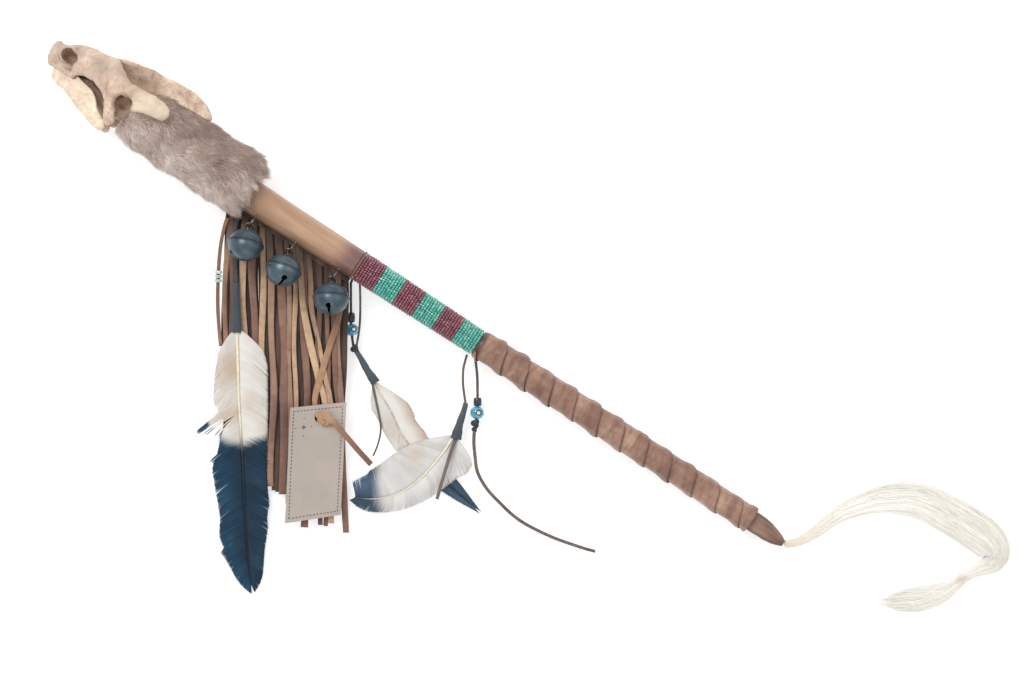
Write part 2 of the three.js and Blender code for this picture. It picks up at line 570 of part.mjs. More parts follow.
// ---------------------------------------------------------------- tag
function tag() {
  const hole = at(236.3, -97.8, 0);
  const height = (y, lift) => FRINGE.foldZ + (y - FRINGE.foldY) * Math.tan(FRINGE.slope) + lift;
  const outline = new THREE.Shape(TAG.corners.map(([x, y]) => new THREE.Vector2(x, y)));
  const sheet = new THREE.ExtrudeGeometry(outline, { depth: TAG.thickness, bevelEnabled: false });
  const punch = new THREE.CylinderGeometry(TAG.hole, TAG.hole, 4, 16).rotateX(Math.PI / 2);
  const card = cut(sheet, punch);
  const mesh = add("tag", "card", card);
  mesh.rotation.x = FRINGE.slope;
  mesh.position.set(hole.x, hole.y, height(hole.y, 5.6));

  const anchor = at(200.5, FRINGE.foldY, 0);
  const behind = [[1, 13], [-3.5, 42], [-10.5, 72], [-13.2, 88]].map(([a, d]) => hung(anchor, a, d, 0));
  behind.forEach((p) => p.setZ(height(p.y, 3)));
  const through = [hole.clone().setZ(height(hole.y, 5.2)), hole.clone().setZ(height(hole.y, 8.4))];
  const tail = [[-4, 101.5], [5.6, 109], [17.6, 119.4]].map(([a, d]) => hung(anchor, a, d, 0));
  tail.forEach((p) => p.setZ(height(p.y, 9.2)));
  const lace = cord([...behind, ...through, ...tail], 1.3, 1.3, 30);
  const knot = lump(hole.x + 0.6, hole.y + 0.3, height(hole.y, 9.6), 3.9, 2.9, 1.9, 10);
  add("tag_lace", "leather", join(lace, knot));
}

// ---------------------------------------------------------------- horsehair
function horsehair() {
  const anchor = at(STAFF_LENGTH + 0.4, -1, 0);
  const rings = (stations) => {
    const path = new THREE.CatmullRomCurve3(stations.map(([a, d, , , z]) => hung(anchor, a, d, z)));
    return stations.map(([, , width, thick], i) => {
      const along = path.getTangent(i / (stations.length - 1)).setZ(0).normalize();
      const middle = path.points[i];
      return Array.from({ length: 8 }, (_, k) => {
        const turn = (k / 8) * 2 * Math.PI;
        const aside = (width / 2) * Math.cos(turn);
        return at(middle.x - along.y * aside, middle.y + along.x * aside, middle.z + (thick / 2) * Math.sin(turn));
      });
    });
  };
  const out = loft(rings([
    [0.6, 0.4, 3, 2.6, 0.2], [9.8, -0.7, 3.6, 3, 0], [20.7, -6.9, 4.8, 3, -1.5], [31.3, -15.3, 6, 3, -2.5],
    [41.9, -21.7, 7.6, 3, -2.8], [57.8, -27.5, 10.6, 3, -2.4], [73.8, -29.7, 14, 3, -1.6],
    [89.7, -28.2, 19, 3, -0.8], [105.5, -20.6, 22, 3, 0], [121.5, -11.1, 24, 3, 0.6],
    [133, -2.6, 25, 3, 1.2], [141.5, 4.6, 20, 3, 1.6],
  ]));
  const back = loft(rings([
    [141, 3, 14, 3, 1.8], [135.3, 12.2, 11.6, 3, 1.6], [124.7, 17.6, 6.4, 3, 1.4], [116.2, 21.8, 5.3, 3, 1.2],
    [105.5, 29.2, 11.6, 3, 0.8], [89.7, 34.5, 15.8, 3, 0.2], [73.8, 37.7, 13.8, 3, -0.6], [62.1, 37.7, 6, 2, -1],
  ]));
  add("horsehair", "hair", join(out, back));
}

// ---------------------------------------------------------------- the whole object
staff();
furSleeve();
beadwork();
gripWrap();
cranium();
lowerJaw();
fringe();
beadedThong();
BELLS.forEach((spec, i) => bell(spec, i + 1));
longFeather();
leftPendant();
rightPendant();
tag();
horsehair();

// The origin is under the middle of everything, on the table.
assembly.rotation.y = Math.atan(TABLE_SLOPE);
const reach = new THREE.Box3().setFromObject(assembly, true);
const middle = reach.getCenter(new THREE.Vector3());
assembly.position.set(-middle.x, -middle.y, -reach.min.z);
const model = new THREE.Group();
model.add(assembly);

export default model;
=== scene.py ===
"""Looks of the rattle stick: skull, fur, wood, fringe, bells, beadwork, grip, feathers, tag and horsehair.

Shapes are worked out in millimetres in the staff's own frame, as in the CAD source: x runs down the staff's
axis from its head to its butt, the fringe lies towards -y and z points up from the table. row() turns that
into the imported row's frame in metres.
"""

import json
import math

import bpy
import numpy as np
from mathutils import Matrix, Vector, noise


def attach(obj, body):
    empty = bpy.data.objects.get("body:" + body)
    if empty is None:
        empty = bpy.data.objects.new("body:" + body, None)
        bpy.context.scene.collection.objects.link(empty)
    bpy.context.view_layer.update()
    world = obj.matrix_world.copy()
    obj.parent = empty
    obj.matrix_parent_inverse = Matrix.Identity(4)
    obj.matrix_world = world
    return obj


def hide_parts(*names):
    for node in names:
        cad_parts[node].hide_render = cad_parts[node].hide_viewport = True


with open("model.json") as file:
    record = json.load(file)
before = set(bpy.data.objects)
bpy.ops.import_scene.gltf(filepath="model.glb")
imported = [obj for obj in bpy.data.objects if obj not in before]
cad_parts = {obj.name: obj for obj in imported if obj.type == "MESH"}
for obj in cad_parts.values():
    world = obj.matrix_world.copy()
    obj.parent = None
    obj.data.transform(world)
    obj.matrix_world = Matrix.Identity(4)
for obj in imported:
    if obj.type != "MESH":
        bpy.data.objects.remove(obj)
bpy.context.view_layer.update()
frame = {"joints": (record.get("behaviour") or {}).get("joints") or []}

HAIR_TIE_M = next(joint["pos_m"] for joint in frame["joints"] if joint["name"] == "horsehair_swing")

# ---------------------------------------------------------------- the staff's frame
MM = 0.001
FULL_TURN = 2 * math.pi
UP = np.array([0, 0, 1.0])

# The staff leans a little, because the skull is thicker than the butt.
LEAN_RISE = 0.0487
LEAN = math.atan(LEAN_RISE)
TABLE_AT_HEAD = -34
TURN = np.array([[math.cos(LEAN), 0, math.sin(LEAN)], [0, 1, 0], [-math.sin(LEAN), 0, math.cos(LEAN)]])
HAIR_ROOT = (537.4, -1)
ORIGIN = np.array(HAIR_TIE_M) - TURN @ np.array([*HAIR_ROOT, 0]) * MM

# The fringe and the pendants hang at this angle to the staff. The fringe slopes down from its fold.
HANG = math.radians(33)
FOLD_Y, FOLD_Z = -12.4, -6.4
FRINGE_SLOPE = math.tan(math.radians(5))


def row(points):
    """Staff frame in millimetres to row frame in metres."""
    return np.asarray(points, float) @ TURN.T * MM + ORIGIN


def hung(anchor_x, anchor_y, aside, drop):
    """A point in plan that hangs from an anchor: drop along the way the fringe hangs, aside square to it."""
    return (
        anchor_x + drop * math.sin(HANG) + aside * math.cos(HANG),
        anchor_y - drop * math.cos(HANG) + aside * math.sin(HANG),
    )


def table_z(x):
    return TABLE_AT_HEAD + LEAN_RISE * x


def fringe_z(y):
    """Height of the fringe's middle surface under a point."""
    return FOLD_Z - max(0.0, FOLD_Y - y) * FRINGE_SLOPE


def pendant(anchor, points, z):
    """A path given as (aside, drop) pairs from an anchor, at one height or at a height for each pair."""
    flat = np.array([hung(*anchor, aside, drop) for aside, drop in points])
    return np.column_stack([flat, np.broadcast_to(z, len(flat))])


def over_fringe(anchor, points, lift):
    """Such a path lifted off the fringe's middle surface."""
    path = pendant(anchor, points, lift)
    path[:, 2] += [fringe_z(y) for y in path[:, 1]]
    return path


def over_table(anchor, points, lift):
    """Such a path lifted off the table."""
    path = pendant(anchor, points, lift)
    path[:, 2] += table_z(path[:, 0])
    return path


def draped(anchor, points, lift, leaves, settles):
    """Such a path that leaves the staff at one height and settles lift above the table further down."""
    path = over_table(anchor, points, lift)
    share = np.clip(np.array(points)[:, 1] / settles, 0, 1)
    path[:, 2] = leaves + (path[:, 2] - leaves) * share
    return path


# ---------------------------------------------------------------- shapes
class Shape:
    """Points, faces and a few numbers marked on each point, which materials read as attributes."""

    def __init__(self, points, faces, **marks):
        self.points = np.asarray(points, float).reshape(-1, 3)
        self.faces = [np.asarray(block, np.int64) for block in faces if len(block)]
        self.marks = {k: np.broadcast_to(np.asarray(v, float), len(self.points)) for k, v in marks.items()}

    def outward(self):
        """Turns the faces to point out of the closed shape."""
        volume = 0.0
        for block in self.faces:
            p = self.points[block]
            for i in range(1, block.shape[1] - 1):
                volume += np.einsum("ij,ij->", p[:, 0], np.cross(p[:, i], p[:, i + 1]))
        if volume < 0:
            self.faces = [block[:, ::-1] for block in self.faces]
        return self

    def moved(self, matrix, offset=(0, 0, 0)):
        return Shape(self.points @ np.asarray(matrix).T + offset, self.faces, **self.marks)


def join(shapes):
    names = sorted({k for s in shapes for k in s.marks})
    faces = {}
    start = 0
    for s in shapes:
        for block in s.faces:
            faces.setdefault(block.shape[1], []).append(block + start)
        start += len(s.points)
    marks = {k: np.concatenate([s.marks.get(k, np.zeros(len(s.points))) for s in shapes]) for k in names}
    return Shape(
        np.concatenate([s.points for s in shapes]), [np.concatenate(f) for f in faces.values()], **marks
    )


def rings(points, **marks):
    """A closed skin through an array of rings, (rings, corners, 3), with a fan over each end."""
    n, k, _ = points.shape
    corner = np.arange(k)
    following = (corner + 1) % k
    start = np.arange(n - 1)[:, None] * k
    quads = np.stack([start + corner, start + following, start + k + following, start + k + corner], -1)
    first = np.stack([following, corner, np.full(k, n * k)], -1)
    last = np.stack([corner + (n - 1) * k, following + (n - 1) * k, np.full(k, n * k + 1)], -1)
    flat = np.concatenate([points.reshape(-1, 3), points[:1].mean(1), points[-1:].mean(1)])
    flat_marks = {}
    for name, value in marks.items():
        value = np.broadcast_to(np.asarray(value, float), (n, k)).reshape(-1)
        flat_marks[name] = np.concatenate([value, [value[0], value[-1]]])
    return Shape(flat, [quads.reshape(-1, 4), np.concatenate([first, last])], **flat_marks).outward()


def looped(points, **marks):
    """A closed skin through an array of rings whose last ring joins its first."""
    n, k, _ = points.shape
    i, j = np.meshgrid(np.arange(n), np.arange(k), indexing="ij")
    ni, nj = (i + 1) % n, (j + 1) % k
    quads = np.stack([i * k + j, i * k + nj, ni * k + nj, ni * k + j], -1)
    return Shape(points, [quads.reshape(-1, 4)], **marks).outward()


def strands(corners, **marks):
    """Many thin closed strands. corners is (strands, steps, corners, 3) and marks are (strands, steps)."""
    n, k, m, _ = corners.shape
    base = (np.arange(n) * k * m)[:, None, None]
    low = base + (np.arange(k - 1) * m)[None, :, None] + np.arange(m)
    following = low + np.where(np.arange(m) == m - 1, 1 - m, 1)
    quads = np.stack([low, following, following + m, low + m], -1)
    first = (base[:, 0] + np.arange(m)[::-1])
    last = (base[:, 0] + (k - 1) * m + np.arange(m))
    flat = {name: np.repeat(np.broadcast_to(value, (n, k)).reshape(-1), m) for name, value in marks.items()}
    return Shape(corners, [quads.reshape(-1, 4), np.concatenate([first, last])], **flat).outward()


def around(x, radius, turn, middle=0.0):
    """Points round the staff's axis, or round a line that lies middle beside it."""
    x, radius, turn, middle = np.broadcast_arrays(x, radius, turn, middle)
    return np.stack([x, radius * np.cos(turn) + middle, radius * np.sin(turn)], -1)


def turns(count):
    """Equal steps of one full turn."""
    return np.arange(count) * FULL_TURN / count


def revolve(profile, segments, **marks):
    """A closed solid of revolution about x. The profile is a closed list of (x, radius)."""
    profile = np.asarray(profile, float)
    return looped(around(profile[:, :1], profile[:, 1:], turns(segments)), **marks)


def unit(v):
    return v / np.maximum(np.linalg.norm(v, axis=-1, keepdims=True), 1e-12)


def lengths(path):
    """How far along a path each of its points is."""
    return np.concatenate([[0], np.cumsum(np.linalg.norm(np.diff(path, axis=0), axis=1))])


def read(path, scale, at):
    """A path's points at places on a rising scale that has a value for each of its points."""
    return np.stack([np.interp(at, scale, path[:, i]) for i in range(path.shape[1])], -1)


def resample(path, count):
    length = lengths(path)
    return read(path, length, np.linspace(0, length[-1], count))


def spline(points, count):
    """Catmull-Rom curve through the points, at equal steps of length."""
    p = np.asarray(points, float)
    p = np.concatenate([2 * p[:1] - p[1:2], p, 2 * p[-1:] - p[-2:-1]])
    t = np.linspace(0, 1, 16, endpoint=False)[:, None]
    pieces = []
    for a, b, c, d in zip(p, p[1:], p[2:], p[3:]):
        pieces.append(
            0.5 * (
                2 * b + (c - a) * t + (2 * a - 5 * b + 4 * c - d) * t**2 + (3 * b - a - 3 * c + d) * t**3
            )
        )
    return resample(np.concatenate([*pieces, p[-2:-1]]), count)


def directions(path, up=UP):
    """Along, sideways and upwards at each point of a path that lies fairly flat."""
    along = unit(np.gradient(path, axis=0))
    side = unit(np.cross(np.broadcast_to(up, along.shape), along))
    return along, side, np.cross(along, side)


def bead_axes(along):
    """Axes of a bead on a cord, as columns: along the cord, sideways and upwards."""
    side = unit(np.cross(UP, along))
    return np.stack([along, side, np.cross(along, side)], 1)


def sweep(path, section, size=1.0, roll=0.0, up=UP, **marks):
    """A section of (side, up) points drawn along a path. size is one number, one a step or a pair a step."""
    _, side, top = directions(path, up)
    n = len(path)
    size = np.broadcast_to(np.asarray(size, float).reshape(-1, 1) if np.ndim(size) < 2 else size, (n, 2))
    roll = np.broadcast_to(np.asarray(roll, float), (n,))[:, None]
    section = np.asarray(section, float)
    sideways = section[None, :, 0] * size[:, :1]
    upwards = section[None, :, 1] * size[:, 1:]
    out_side = sideways * np.cos(roll) - upwards * np.sin(roll)
    out_top = sideways * np.sin(roll) + upwards * np.cos(roll)
    points = path[:, None] + out_side[..., None] * side[:, None] + out_top[..., None] * top[:, None]
    marks.setdefault("along", np.linspace(0, 1, n)[:, None])
    marks.setdefault("round", np.linspace(0, 1, len(section))[None])
    return rings(points, **marks)


def circle(sides):
    turn = turns(sides)
    return np.stack([np.cos(turn), np.sin(turn)], -1)


def cord(points, radius, count):
    return sweep(spline(points, count), circle(10), radius)


def strap_section(width, thickness):
    """Outline of a flat strap, with its corners cut off."""
    w, t = width / 2, thickness / 2
    e = min(0.3, t)
    half = [(-w + e, -t), (-w / 3, -t), (w / 3, -t), (w - e, -t), (w, -t + e), (w, t - e)]
    return np.array(half + [(-a, -b) for a, b in half])


def ball(centre, radii, rows=12, columns=18, **marks):
    lat = np.linspace(-0.5 * math.pi, 0.5 * math.pi, rows + 2)[1:-1, None]
    lon = turns(columns)
    points = np.stack([np.cos(lat) * np.cos(lon), np.cos(lat) * np.sin(lon), np.sin(lat) + 0 * lon], -1)
    return rings(points * np.asarray(radii, float) + centre, **marks)


def build(name, shape, material, body, node, stands_in=True, uv=None):
    """Makes a Blender mesh of a shape in the staff's frame. It rides on a CAD body and stands in for a node.

    uv names the two marks that lay out a UV layer called OFBake.
    """
    mesh = bpy.data.meshes.new(name)
    loops = np.concatenate([block.ravel() for block in shape.faces])
    sizes = np.concatenate([np.full(len(block), block.shape[1]) for block in shape.faces])
    mesh.vertices.add(len(shape.points))
    mesh.vertices.foreach_set("co", row(shape.points).astype(np.float32).ravel())
    mesh.loops.add(len(loops))
    mesh.loops.foreach_set("vertex_index", loops.astype(np.int32))
    mesh.polygons.add(len(sizes))
    mesh.polygons.foreach_set("loop_start", np.concatenate([[0], np.cumsum(sizes)[:-1]]).astype(np.int32))
    mesh.update(calc_edges=True)
    for key, values in shape.marks.items():
        mesh.attributes.new(key, "FLOAT", "POINT").data.foreach_set("value", values.astype(np.float32))
    if uv:
        pair = np.clip(np.stack([shape.marks[key][loops] for key in uv], -1), 0, 1)
        mesh.uv_layers.new(name="OFBake").data.foreach_set(
            "uv", (0.02 + 0.96 * pair).astype(np.float32).ravel()
        )
    mesh.polygons.foreach_set("use_smooth", np.ones(len(sizes), bool))
    mesh.materials.append(material)
    piece = bpy.data.objects.new(name, mesh)
    bpy.context.scene.collection.objects.link(piece)
    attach(piece, body)
    if stands_in:
        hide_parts(node)
    return piece


def crisp(piece):
    """Keeps a piece's sharp edges crisp."""
    piece.data.set_sharp_from_angle(angle=math.radians(40))


def grain(points, scale, octaves, seed):
    """Smooth noise at each point, roughly from -1 to 1, with features about scale millimetres across."""
    shift = Vector((seed * 17.3, seed * 5.1, seed * 29.7))
    return np.array([noise.fractal(Vector(p) / scale + shift, 1.0, 2.0, octaves) for p in points])


# ---------------------------------------------------------------- materials
def rgb(text):
    """A hex colour as seen on screen to linear light."""
    values = [int(text[i:i + 2], 16) / 255 for i in (1, 3, 5)]
    return tuple(v / 12.92 if v <= 0.04045 else ((v + 0.055) / 1.055) ** 2.4 for v in values)


class Value:
    """A number or colour that a material works out at each point."""

    def __init__(self, paint, socket):
        self.paint = paint
        self.socket = socket

    def then(self, operation, other=0.0):
        return self.paint.add("Math", {0: self, 1: other}, operation=operation)

    def __add__(self, other):
        return self.then("ADD", other)

    def __sub__(self, other):
        return self.then("SUBTRACT", other)

    def __mul__(self, other):
        return self.then("MULTIPLY", other)

    def __abs__(self):
        return self.then("ABSOLUTE")

    def under(self, limit):
        """1 where the value is less than the limit, else 0."""
        return self.then("LESS_THAN", limit)

    def span(self, low, high, to_low=0.0, to_high=1.0, smooth=False):
        """The value's place between low and high, as a place between to_low and to_high."""
        ends = {"Value": self, "From Min": low, "From Max": high, "To Min": to_low, "To Max": to_high}
        return self.paint.add(
            "MapRange", ends, clamp=True, interpolation_type="SMOOTHSTEP" if smooth else "LINEAR"
        )

    def ramp(self, *stops):
        """A colour for the value, from stops of (value, hex colour)."""
        result = self.paint.add("ValToRGB", {"Fac": self})
        elements = result.socket.node.color_ramp.elements
        elements[0].position, elements[1].position = stops[0][0], stops[-1][0]
        for position, _ in stops[1:-1]:
            elements.new(position)
        for element, (_, colour) in zip(elements, stops):
            element.color = (*rgb(colour), 1)
        return result

    def mix(self, a, b):
        """Colour a where the value is 0, b where it is 1."""
        return self.paint.add("Mix", {0: self, 6: a, 7: b}, 2, data_type="RGBA")


class Paint:
    """A node material under construction. An input takes a plain value, a hex colour or an earlier Value."""

    def __init__(self, name, **shader):
        self.material = bpy.data.materials.new(name)
        self.material.use_nodes = True
        self.tree = self.material.node_tree
        self.shader = self.tree.nodes["Principled BSDF"]
        self.fill(
            self.shader, {k.replace("_", " ").title().replace("Ior", "IOR"): v for k, v in shader.items()}
        )

    def fill(self, node, inputs):
        for key, value in inputs.items():
            socket = node.inputs[key]
            if isinstance(value, Value):
                self.tree.links.new(value.socket, socket)
            elif isinstance(value, str):
                socket.default_value = (*rgb(value), 1)
            elif socket.type == "RGBA":
                socket.default_value = (*value, 1)
            else:
                socket.default_value = value

    def add(self, kind, inputs, output=0, **settings):
        """Adds a node and returns one of its outputs."""
        node = self.tree.nodes.new("ShaderNode" + kind)
        for key, value in settings.items():
            setattr(node, key, value)
        self.fill(node, inputs)
        return Value(self, node.outputs[output])

    def place(self, stretch=(1, 1, 1)):
        """The piece's own coordinates, in metres, stretched."""
        return self.add("Mapping", {"Vector": self.add("TexCoord", {}, "Object"), "Scale": stretch})

    def noise(self, scale, detail=4, stretch=(1, 1, 1), rough=0.55, twist=0.0):
        settings = {"Scale": scale, "Detail": detail, "Roughness": rough, "Distortion": twist}
        return self.add("TexNoise", {"Vector": self.place(stretch), **settings})

    def mark(self, name):
        return self.add("Attribute", {}, "Fac", attribute_name=name)

    def done(self, colour, roughness, height=None, strength=0.4, depth=0.0004):
        """Fills in the shader. height is a bump that stands up to depth metres."""
        self.fill(self.shader, {"Base Color": colour, "Roughness": roughness})
        if height:
            bump = self.add("Bump", {"Height": height, "Strength": strength, "Distance": depth})
            self.fill(self.shader, {"Normal": bump})
        return self.material


def wood_paint():
    """Varnished honey wood, darker by the fur, stained by the collar, painted shade on the low side, a rough
    bare butt.
    """
    p = Paint("varnished wood", coat_roughness=0.18)
    along = p.add("SeparateXYZ", {0: p.place()}, 0)
    across = p.add("SeparateXYZ", {0: p.place()}, 1)

    def between(start, end, to_start, to_end):
        return along.span(row((start, 0, 0))[0], row((end, 0, 0))[0], to_start, to_end, True)

    broad = p.noise(22, 4, (0.35, 1, 1), 0.5, 0.6)
    fine = p.noise(260, 6, (0.06, 1, 1), 0.65, 0.3)
    colour = broad.ramp((0.3, "#9B765B"), (0.5, "#B79274"), (0.72, "#C6A687"))
    colour = fine.span(0.42, 0.62, 0, 0.42).mix(colour, "#96705A")
    near_fur = between(112, 150, 1, 0)
    colour = (near_fur * 0.62).mix(colour, "#7C5949")
    # Painted shade: the staff's low side, towards the fringe, is darkened towards #86604D.
    shaded_low_side = across.span(row((0, -11, 0))[1], row((0, 1, 0))[1], 1, 0, True)
    colour = (shaded_low_side * broad.span(0.3, 0.65, 0.85, 0.3)).mix(colour, "#86604D")
    near_collar = between(183, 199, 0, 1)
    colour = (near_collar * broad.span(0.3, 0.6, 0.5, 0.95)).mix(colour, "#745052")
    bare = p.noise(120, 6, (0.25, 1, 1), 0.7).ramp((0.3, "#5E453B"), (0.5, "#876A5B"), (0.7, "#A38673"))
    butt = between(500, 511, 0, 1)
    p.fill(p.shader, {"Coat Weight": butt.span(0, 1, 0.35, 0.0)})
    return p.done(butt.mix(colour, bare), butt.span(0, 1, 0.34, 0.8), fine, 0.35, 0.0003)


def bone_paint(name, light, warm, brown):
    """Dry bone. Marks say where it is stained or creamy, and where recesses and hollows get painted shade."""
    p = Paint(name, subsurface_weight=0.08, subsurface_scale=0.003, subsurface_radius=(1, 0.6, 0.35))
    blotches = p.noise(60, 6, rough=0.65, twist=0.5)
    specks = p.noise(420, 5, rough=0.7)
    colour = blotches.ramp((0.34, brown), (0.5, warm), (0.64, light))
    colour = specks.span(0.46, 0.64, 0, 0.6).mix(colour, brown)
    speckled = specks.span(0.35, 0.6).mix("#A08375", "#C6B0A2")
    colour = (p.mark("stain") * 0.8).mix(colour, speckled)
    speckled = specks.span(0.35, 0.65).mix("#E9D6B8", "#F7EBD2")
    colour = (p.mark("cream") * 0.5).mix(colour, speckled)
    speckled = specks.span(0.35, 0.65).mix("#8A6B59", "#AC927C")
    # Painted shade in recesses: the temple, the inside of the mouth and the ear.
    colour = (p.mark("recess") * 0.8).mix(colour, speckled)
    # Painted shade, darkest down in hollows, towards #5A4038.
    colour = p.mark("hollow").span(0.1, 0.75, 0, 0.95, True).mix(colour, "#5A4038")
    return p.done(colour, blotches.span(0.3, 0.7, 0.62, 0.45), specks * 0.7 + blotches, 0.6, 0.0006)


def suede_paint(name, dark, middle, light, rough=0.85):
    """Leather whose shade follows a strap's own mark, with a soft nap."""
    p = Paint(name, sheen_weight=0.25, sheen_roughness=0.5)
    nap = p.noise(240, 5, rough=0.7)
    broad = p.noise(28, 4, rough=0.6)
    shade = p.mark("tint") + broad.span(0.3, 0.7, -0.16, 0.16)
    colour = nap.span(0.45, 0.75, 0, 0.35).mix(shade.ramp((0.0, dark), (0.5, middle), (1.0, light)), dark)
    return p.done((p.mark("shadow") * 0.85).mix(colour, "#34261F"), rough, nap, 0.3, 0.0003)


def grip_paint():
    p = Paint("wound leather", coat_weight=0.3, coat_roughness=0.3)
    creases = p.noise(190, 6, (1.0, 0.22, 0.22), 0.65, 0.6)
    broad = p.noise(38, 4, rough=0.6)
    colour = broad.ramp((0.3, "#805D4C"), (0.5, "#A17B66"), (0.68, "#BC9880"))
    colour = creases.span(0.42, 0.62, 0, 0.6).mix(colour, "#66463A")
    # Painted shade in the creases: along the lap lines and under each turn's overlap.
    colour = (p.mark("edge") * 0.9).mix(colour, "#3A241B")
    colour = (p.mark("worn") * 0.4).mix(colour, "#8A6152")
    return p.done(colour, broad.span(0.3, 0.7, 0.5, 0.36), creases, 0.85, 0.0008)


def bead_paint(name, dark, middle, light):
    p = Paint(name, coat_weight=0.6, coat_roughness=0.08)
    swirl = p.noise(900, 3)
    colour = p.mark("tint").ramp((0.0, dark), (0.5, middle), (1.0, light))
    return p.done(swirl.span(0.4, 0.7, 0, 0.25).mix(colour, dark), swirl.span(0.3, 0.7, 0.16, 0.3))


def bell_paint():
    p = Paint("painted bell", metallic=0.35, coat_weight=0.25, coat_roughness=0.25)
    fine = p.noise(700, 5, rough=0.7)
    colour = p.noise(85, 5, rough=0.6).ramp((0.3, "#33424C"), (0.52, "#485A65"), (0.74, "#5E6F79"))
    colour = fine.span(0.56, 0.72, 0, 0.5).mix(colour, "#25303A")
    # Painted shade along the rim's seam, broken up by noise.
    colour = (p.mark("edge") * fine.span(0.4, 0.6, 0.2, 0.8)).mix(colour, "#2C3740")
    return p.done(colour, fine.span(0.3, 0.7, 0.32, 0.5), fine, 0.15, 0.0002)


def steel_paint():
    p = Paint("bright wire", metallic=1.0)
    scratches = p.noise(900, 5, (1, 0.3, 1), 0.7)
    colour = scratches.ramp((0.3, "#4A423E"), (0.58, "#7F7772"), (0.8, "#CFCFD2"))
    return p.done(colour, scratches.span(0.3, 0.7, 0.2, 0.42), scratches, 0.1, 0.0001)


def cord_paint(name, dark, light):
    p = Paint(name)
    twist = p.noise(700, 4, (1, 1, 1), 0.6)
    broad = p.noise(60, 3)
    return p.done((twist * 0.6 + broad * 0.4).ramp((0.35, dark), (0.65, light)), 0.7, twist, 0.4, 0.0003)


def black_bead_paint():
    p = Paint("black bead", coat_weight=0.3)
    swirl = p.noise(500, 3)
    return p.done(swirl.ramp((0.3, "#1B1F26"), (0.7, "#343C47")), swirl.span(0.3, 0.7, 0.3, 0.5))


def eye_bead_paint():
    """Turquoise glass with ringed eyes. The mark says how far each point is from an eye's middle."""
    p = Paint("eye bead", coat_weight=0.8, coat_roughness=0.05)
    swirl = p.noise(260, 4, twist=1.2)
    glass = swirl.ramp((0.3, "#1E6E8C"), (0.5, "#3D9DBB"), (0.7, "#8CCBD6"))
    eye = p.mark("eye").ramp((0.0, "#B5552E"), (0.18, "#E8B84A"), (0.3, "#F0E8D2"), (0.5, "#F0E8D2"),
                             (0.56, "#1B3F57"), (0.86, "#1B4F6B"), (0.95, "#2F86A5"))
    inside = p.mark("eye").span(0.88, 0.98, 1, 0, True)
    return p.done(inside.mix(glass, eye), swirl.span(0.3, 0.7, 0.08, 0.18))


def clear_bead_paint():
    p = Paint("clear bead", coat_weight=0.5)
    swirl = p.noise(400, 3)
    colour = swirl.ramp((0.35, "#8FA69B"), (0.55, "#C9D8CF"), (0.75, "#EEF4EF"))
    return p.done(colour, swirl.span(0.3, 0.7, 0.06, 0.2))


def fur_paint():
    """Hairs are dark at the root and pale at the tip, and each clump has its own shade."""
    # The faint warm emission is a painted glow that lifts the fur's self-shadow.
    p = Paint("fur", sheen_weight=0.12, emission_color=(0.9, 0.7, 0.62), emission_strength=0.1)
    root = p.mark("tint").ramp((0.0, "#67534B"), (0.5, "#917A6F"), (1.0, "#D2C0B5"))
    pale = p.mark("tint").ramp((0.0, "#A28A7E"), (0.5, "#C8B2A5"), (1.0, "#FBF2EB"))
    return p.done(p.mark("along").span(0.15, 0.9, smooth=True).mix(root, pale), 0.8)


def hair_paint():
    """White horsehair, tan at its root and pink where the hank is pinched."""
    # The faint emission is a painted glow that keeps the white hank bright.
    p = Paint("horsehair", sheen_weight=0.2, emission_color=(1.0, 0.98, 0.93), emission_strength=0.11)
    colour = p.mark("tint").ramp((0.0, "#EFEADB"), (0.5, "#FAF7F0"), (1.0, "#FFFFFD"))
    colour = p.mark("along").span(0.0, 0.22, 0.75, 0.0, True).mix(colour, "#E9DCC6")
    return p.done((p.mark("knot") * 0.7).mix(colour, "#C79E8F"), 0.42)


def feather_paint(name, pale, tan, dark, bluish, change, softness):
    """Barbs are pale to begin with and dark past the place called change, with ragged edges between."""
    p = Paint(name, sheen_weight=0.1, sheen_roughness=0.4, specular_ior_level=0.25)
    along, across, tint = p.mark("along"), p.mark("across"), p.mark("tint")
    streak = tint * 0.6 + p.noise(60, 4) * 0.5
    day = streak.ramp((0.24, tan), (0.42, pale), (0.75, "#EBE8E4"))
    day = (p.mark("tan") * 0.75).mix(day, tan)
    night = streak.ramp((0.25, dark), (0.55, bluish), (0.9, "#37617C"))
    night = (p.mark("row").span(0.49, 0.51) * 0.4).mix(night, dark)
    night = across.span(0.0, 0.6, 0.6, 0.0).mix(night, dark)
    ragged = along + (tint - 0.5) * (softness * 1.6) + across * 0.02
    return p.done(ragged.span(change - softness, change + softness, 0, 1, True).mix(day, night), 0.55)


def quill_paint(name, pale, dark, change):
    p = Paint(name)
    mottle = p.noise(300, 3)
    light = mottle.ramp((0.3, pale), (0.7, "#F3ECD6"))
    colour = p.mark("along").span(change - 0.06, change + 0.06, 0, 1, True).mix(light, dark)
    return p.done(colour, mottle.span(0.3, 0.7, 0.3, 0.45))


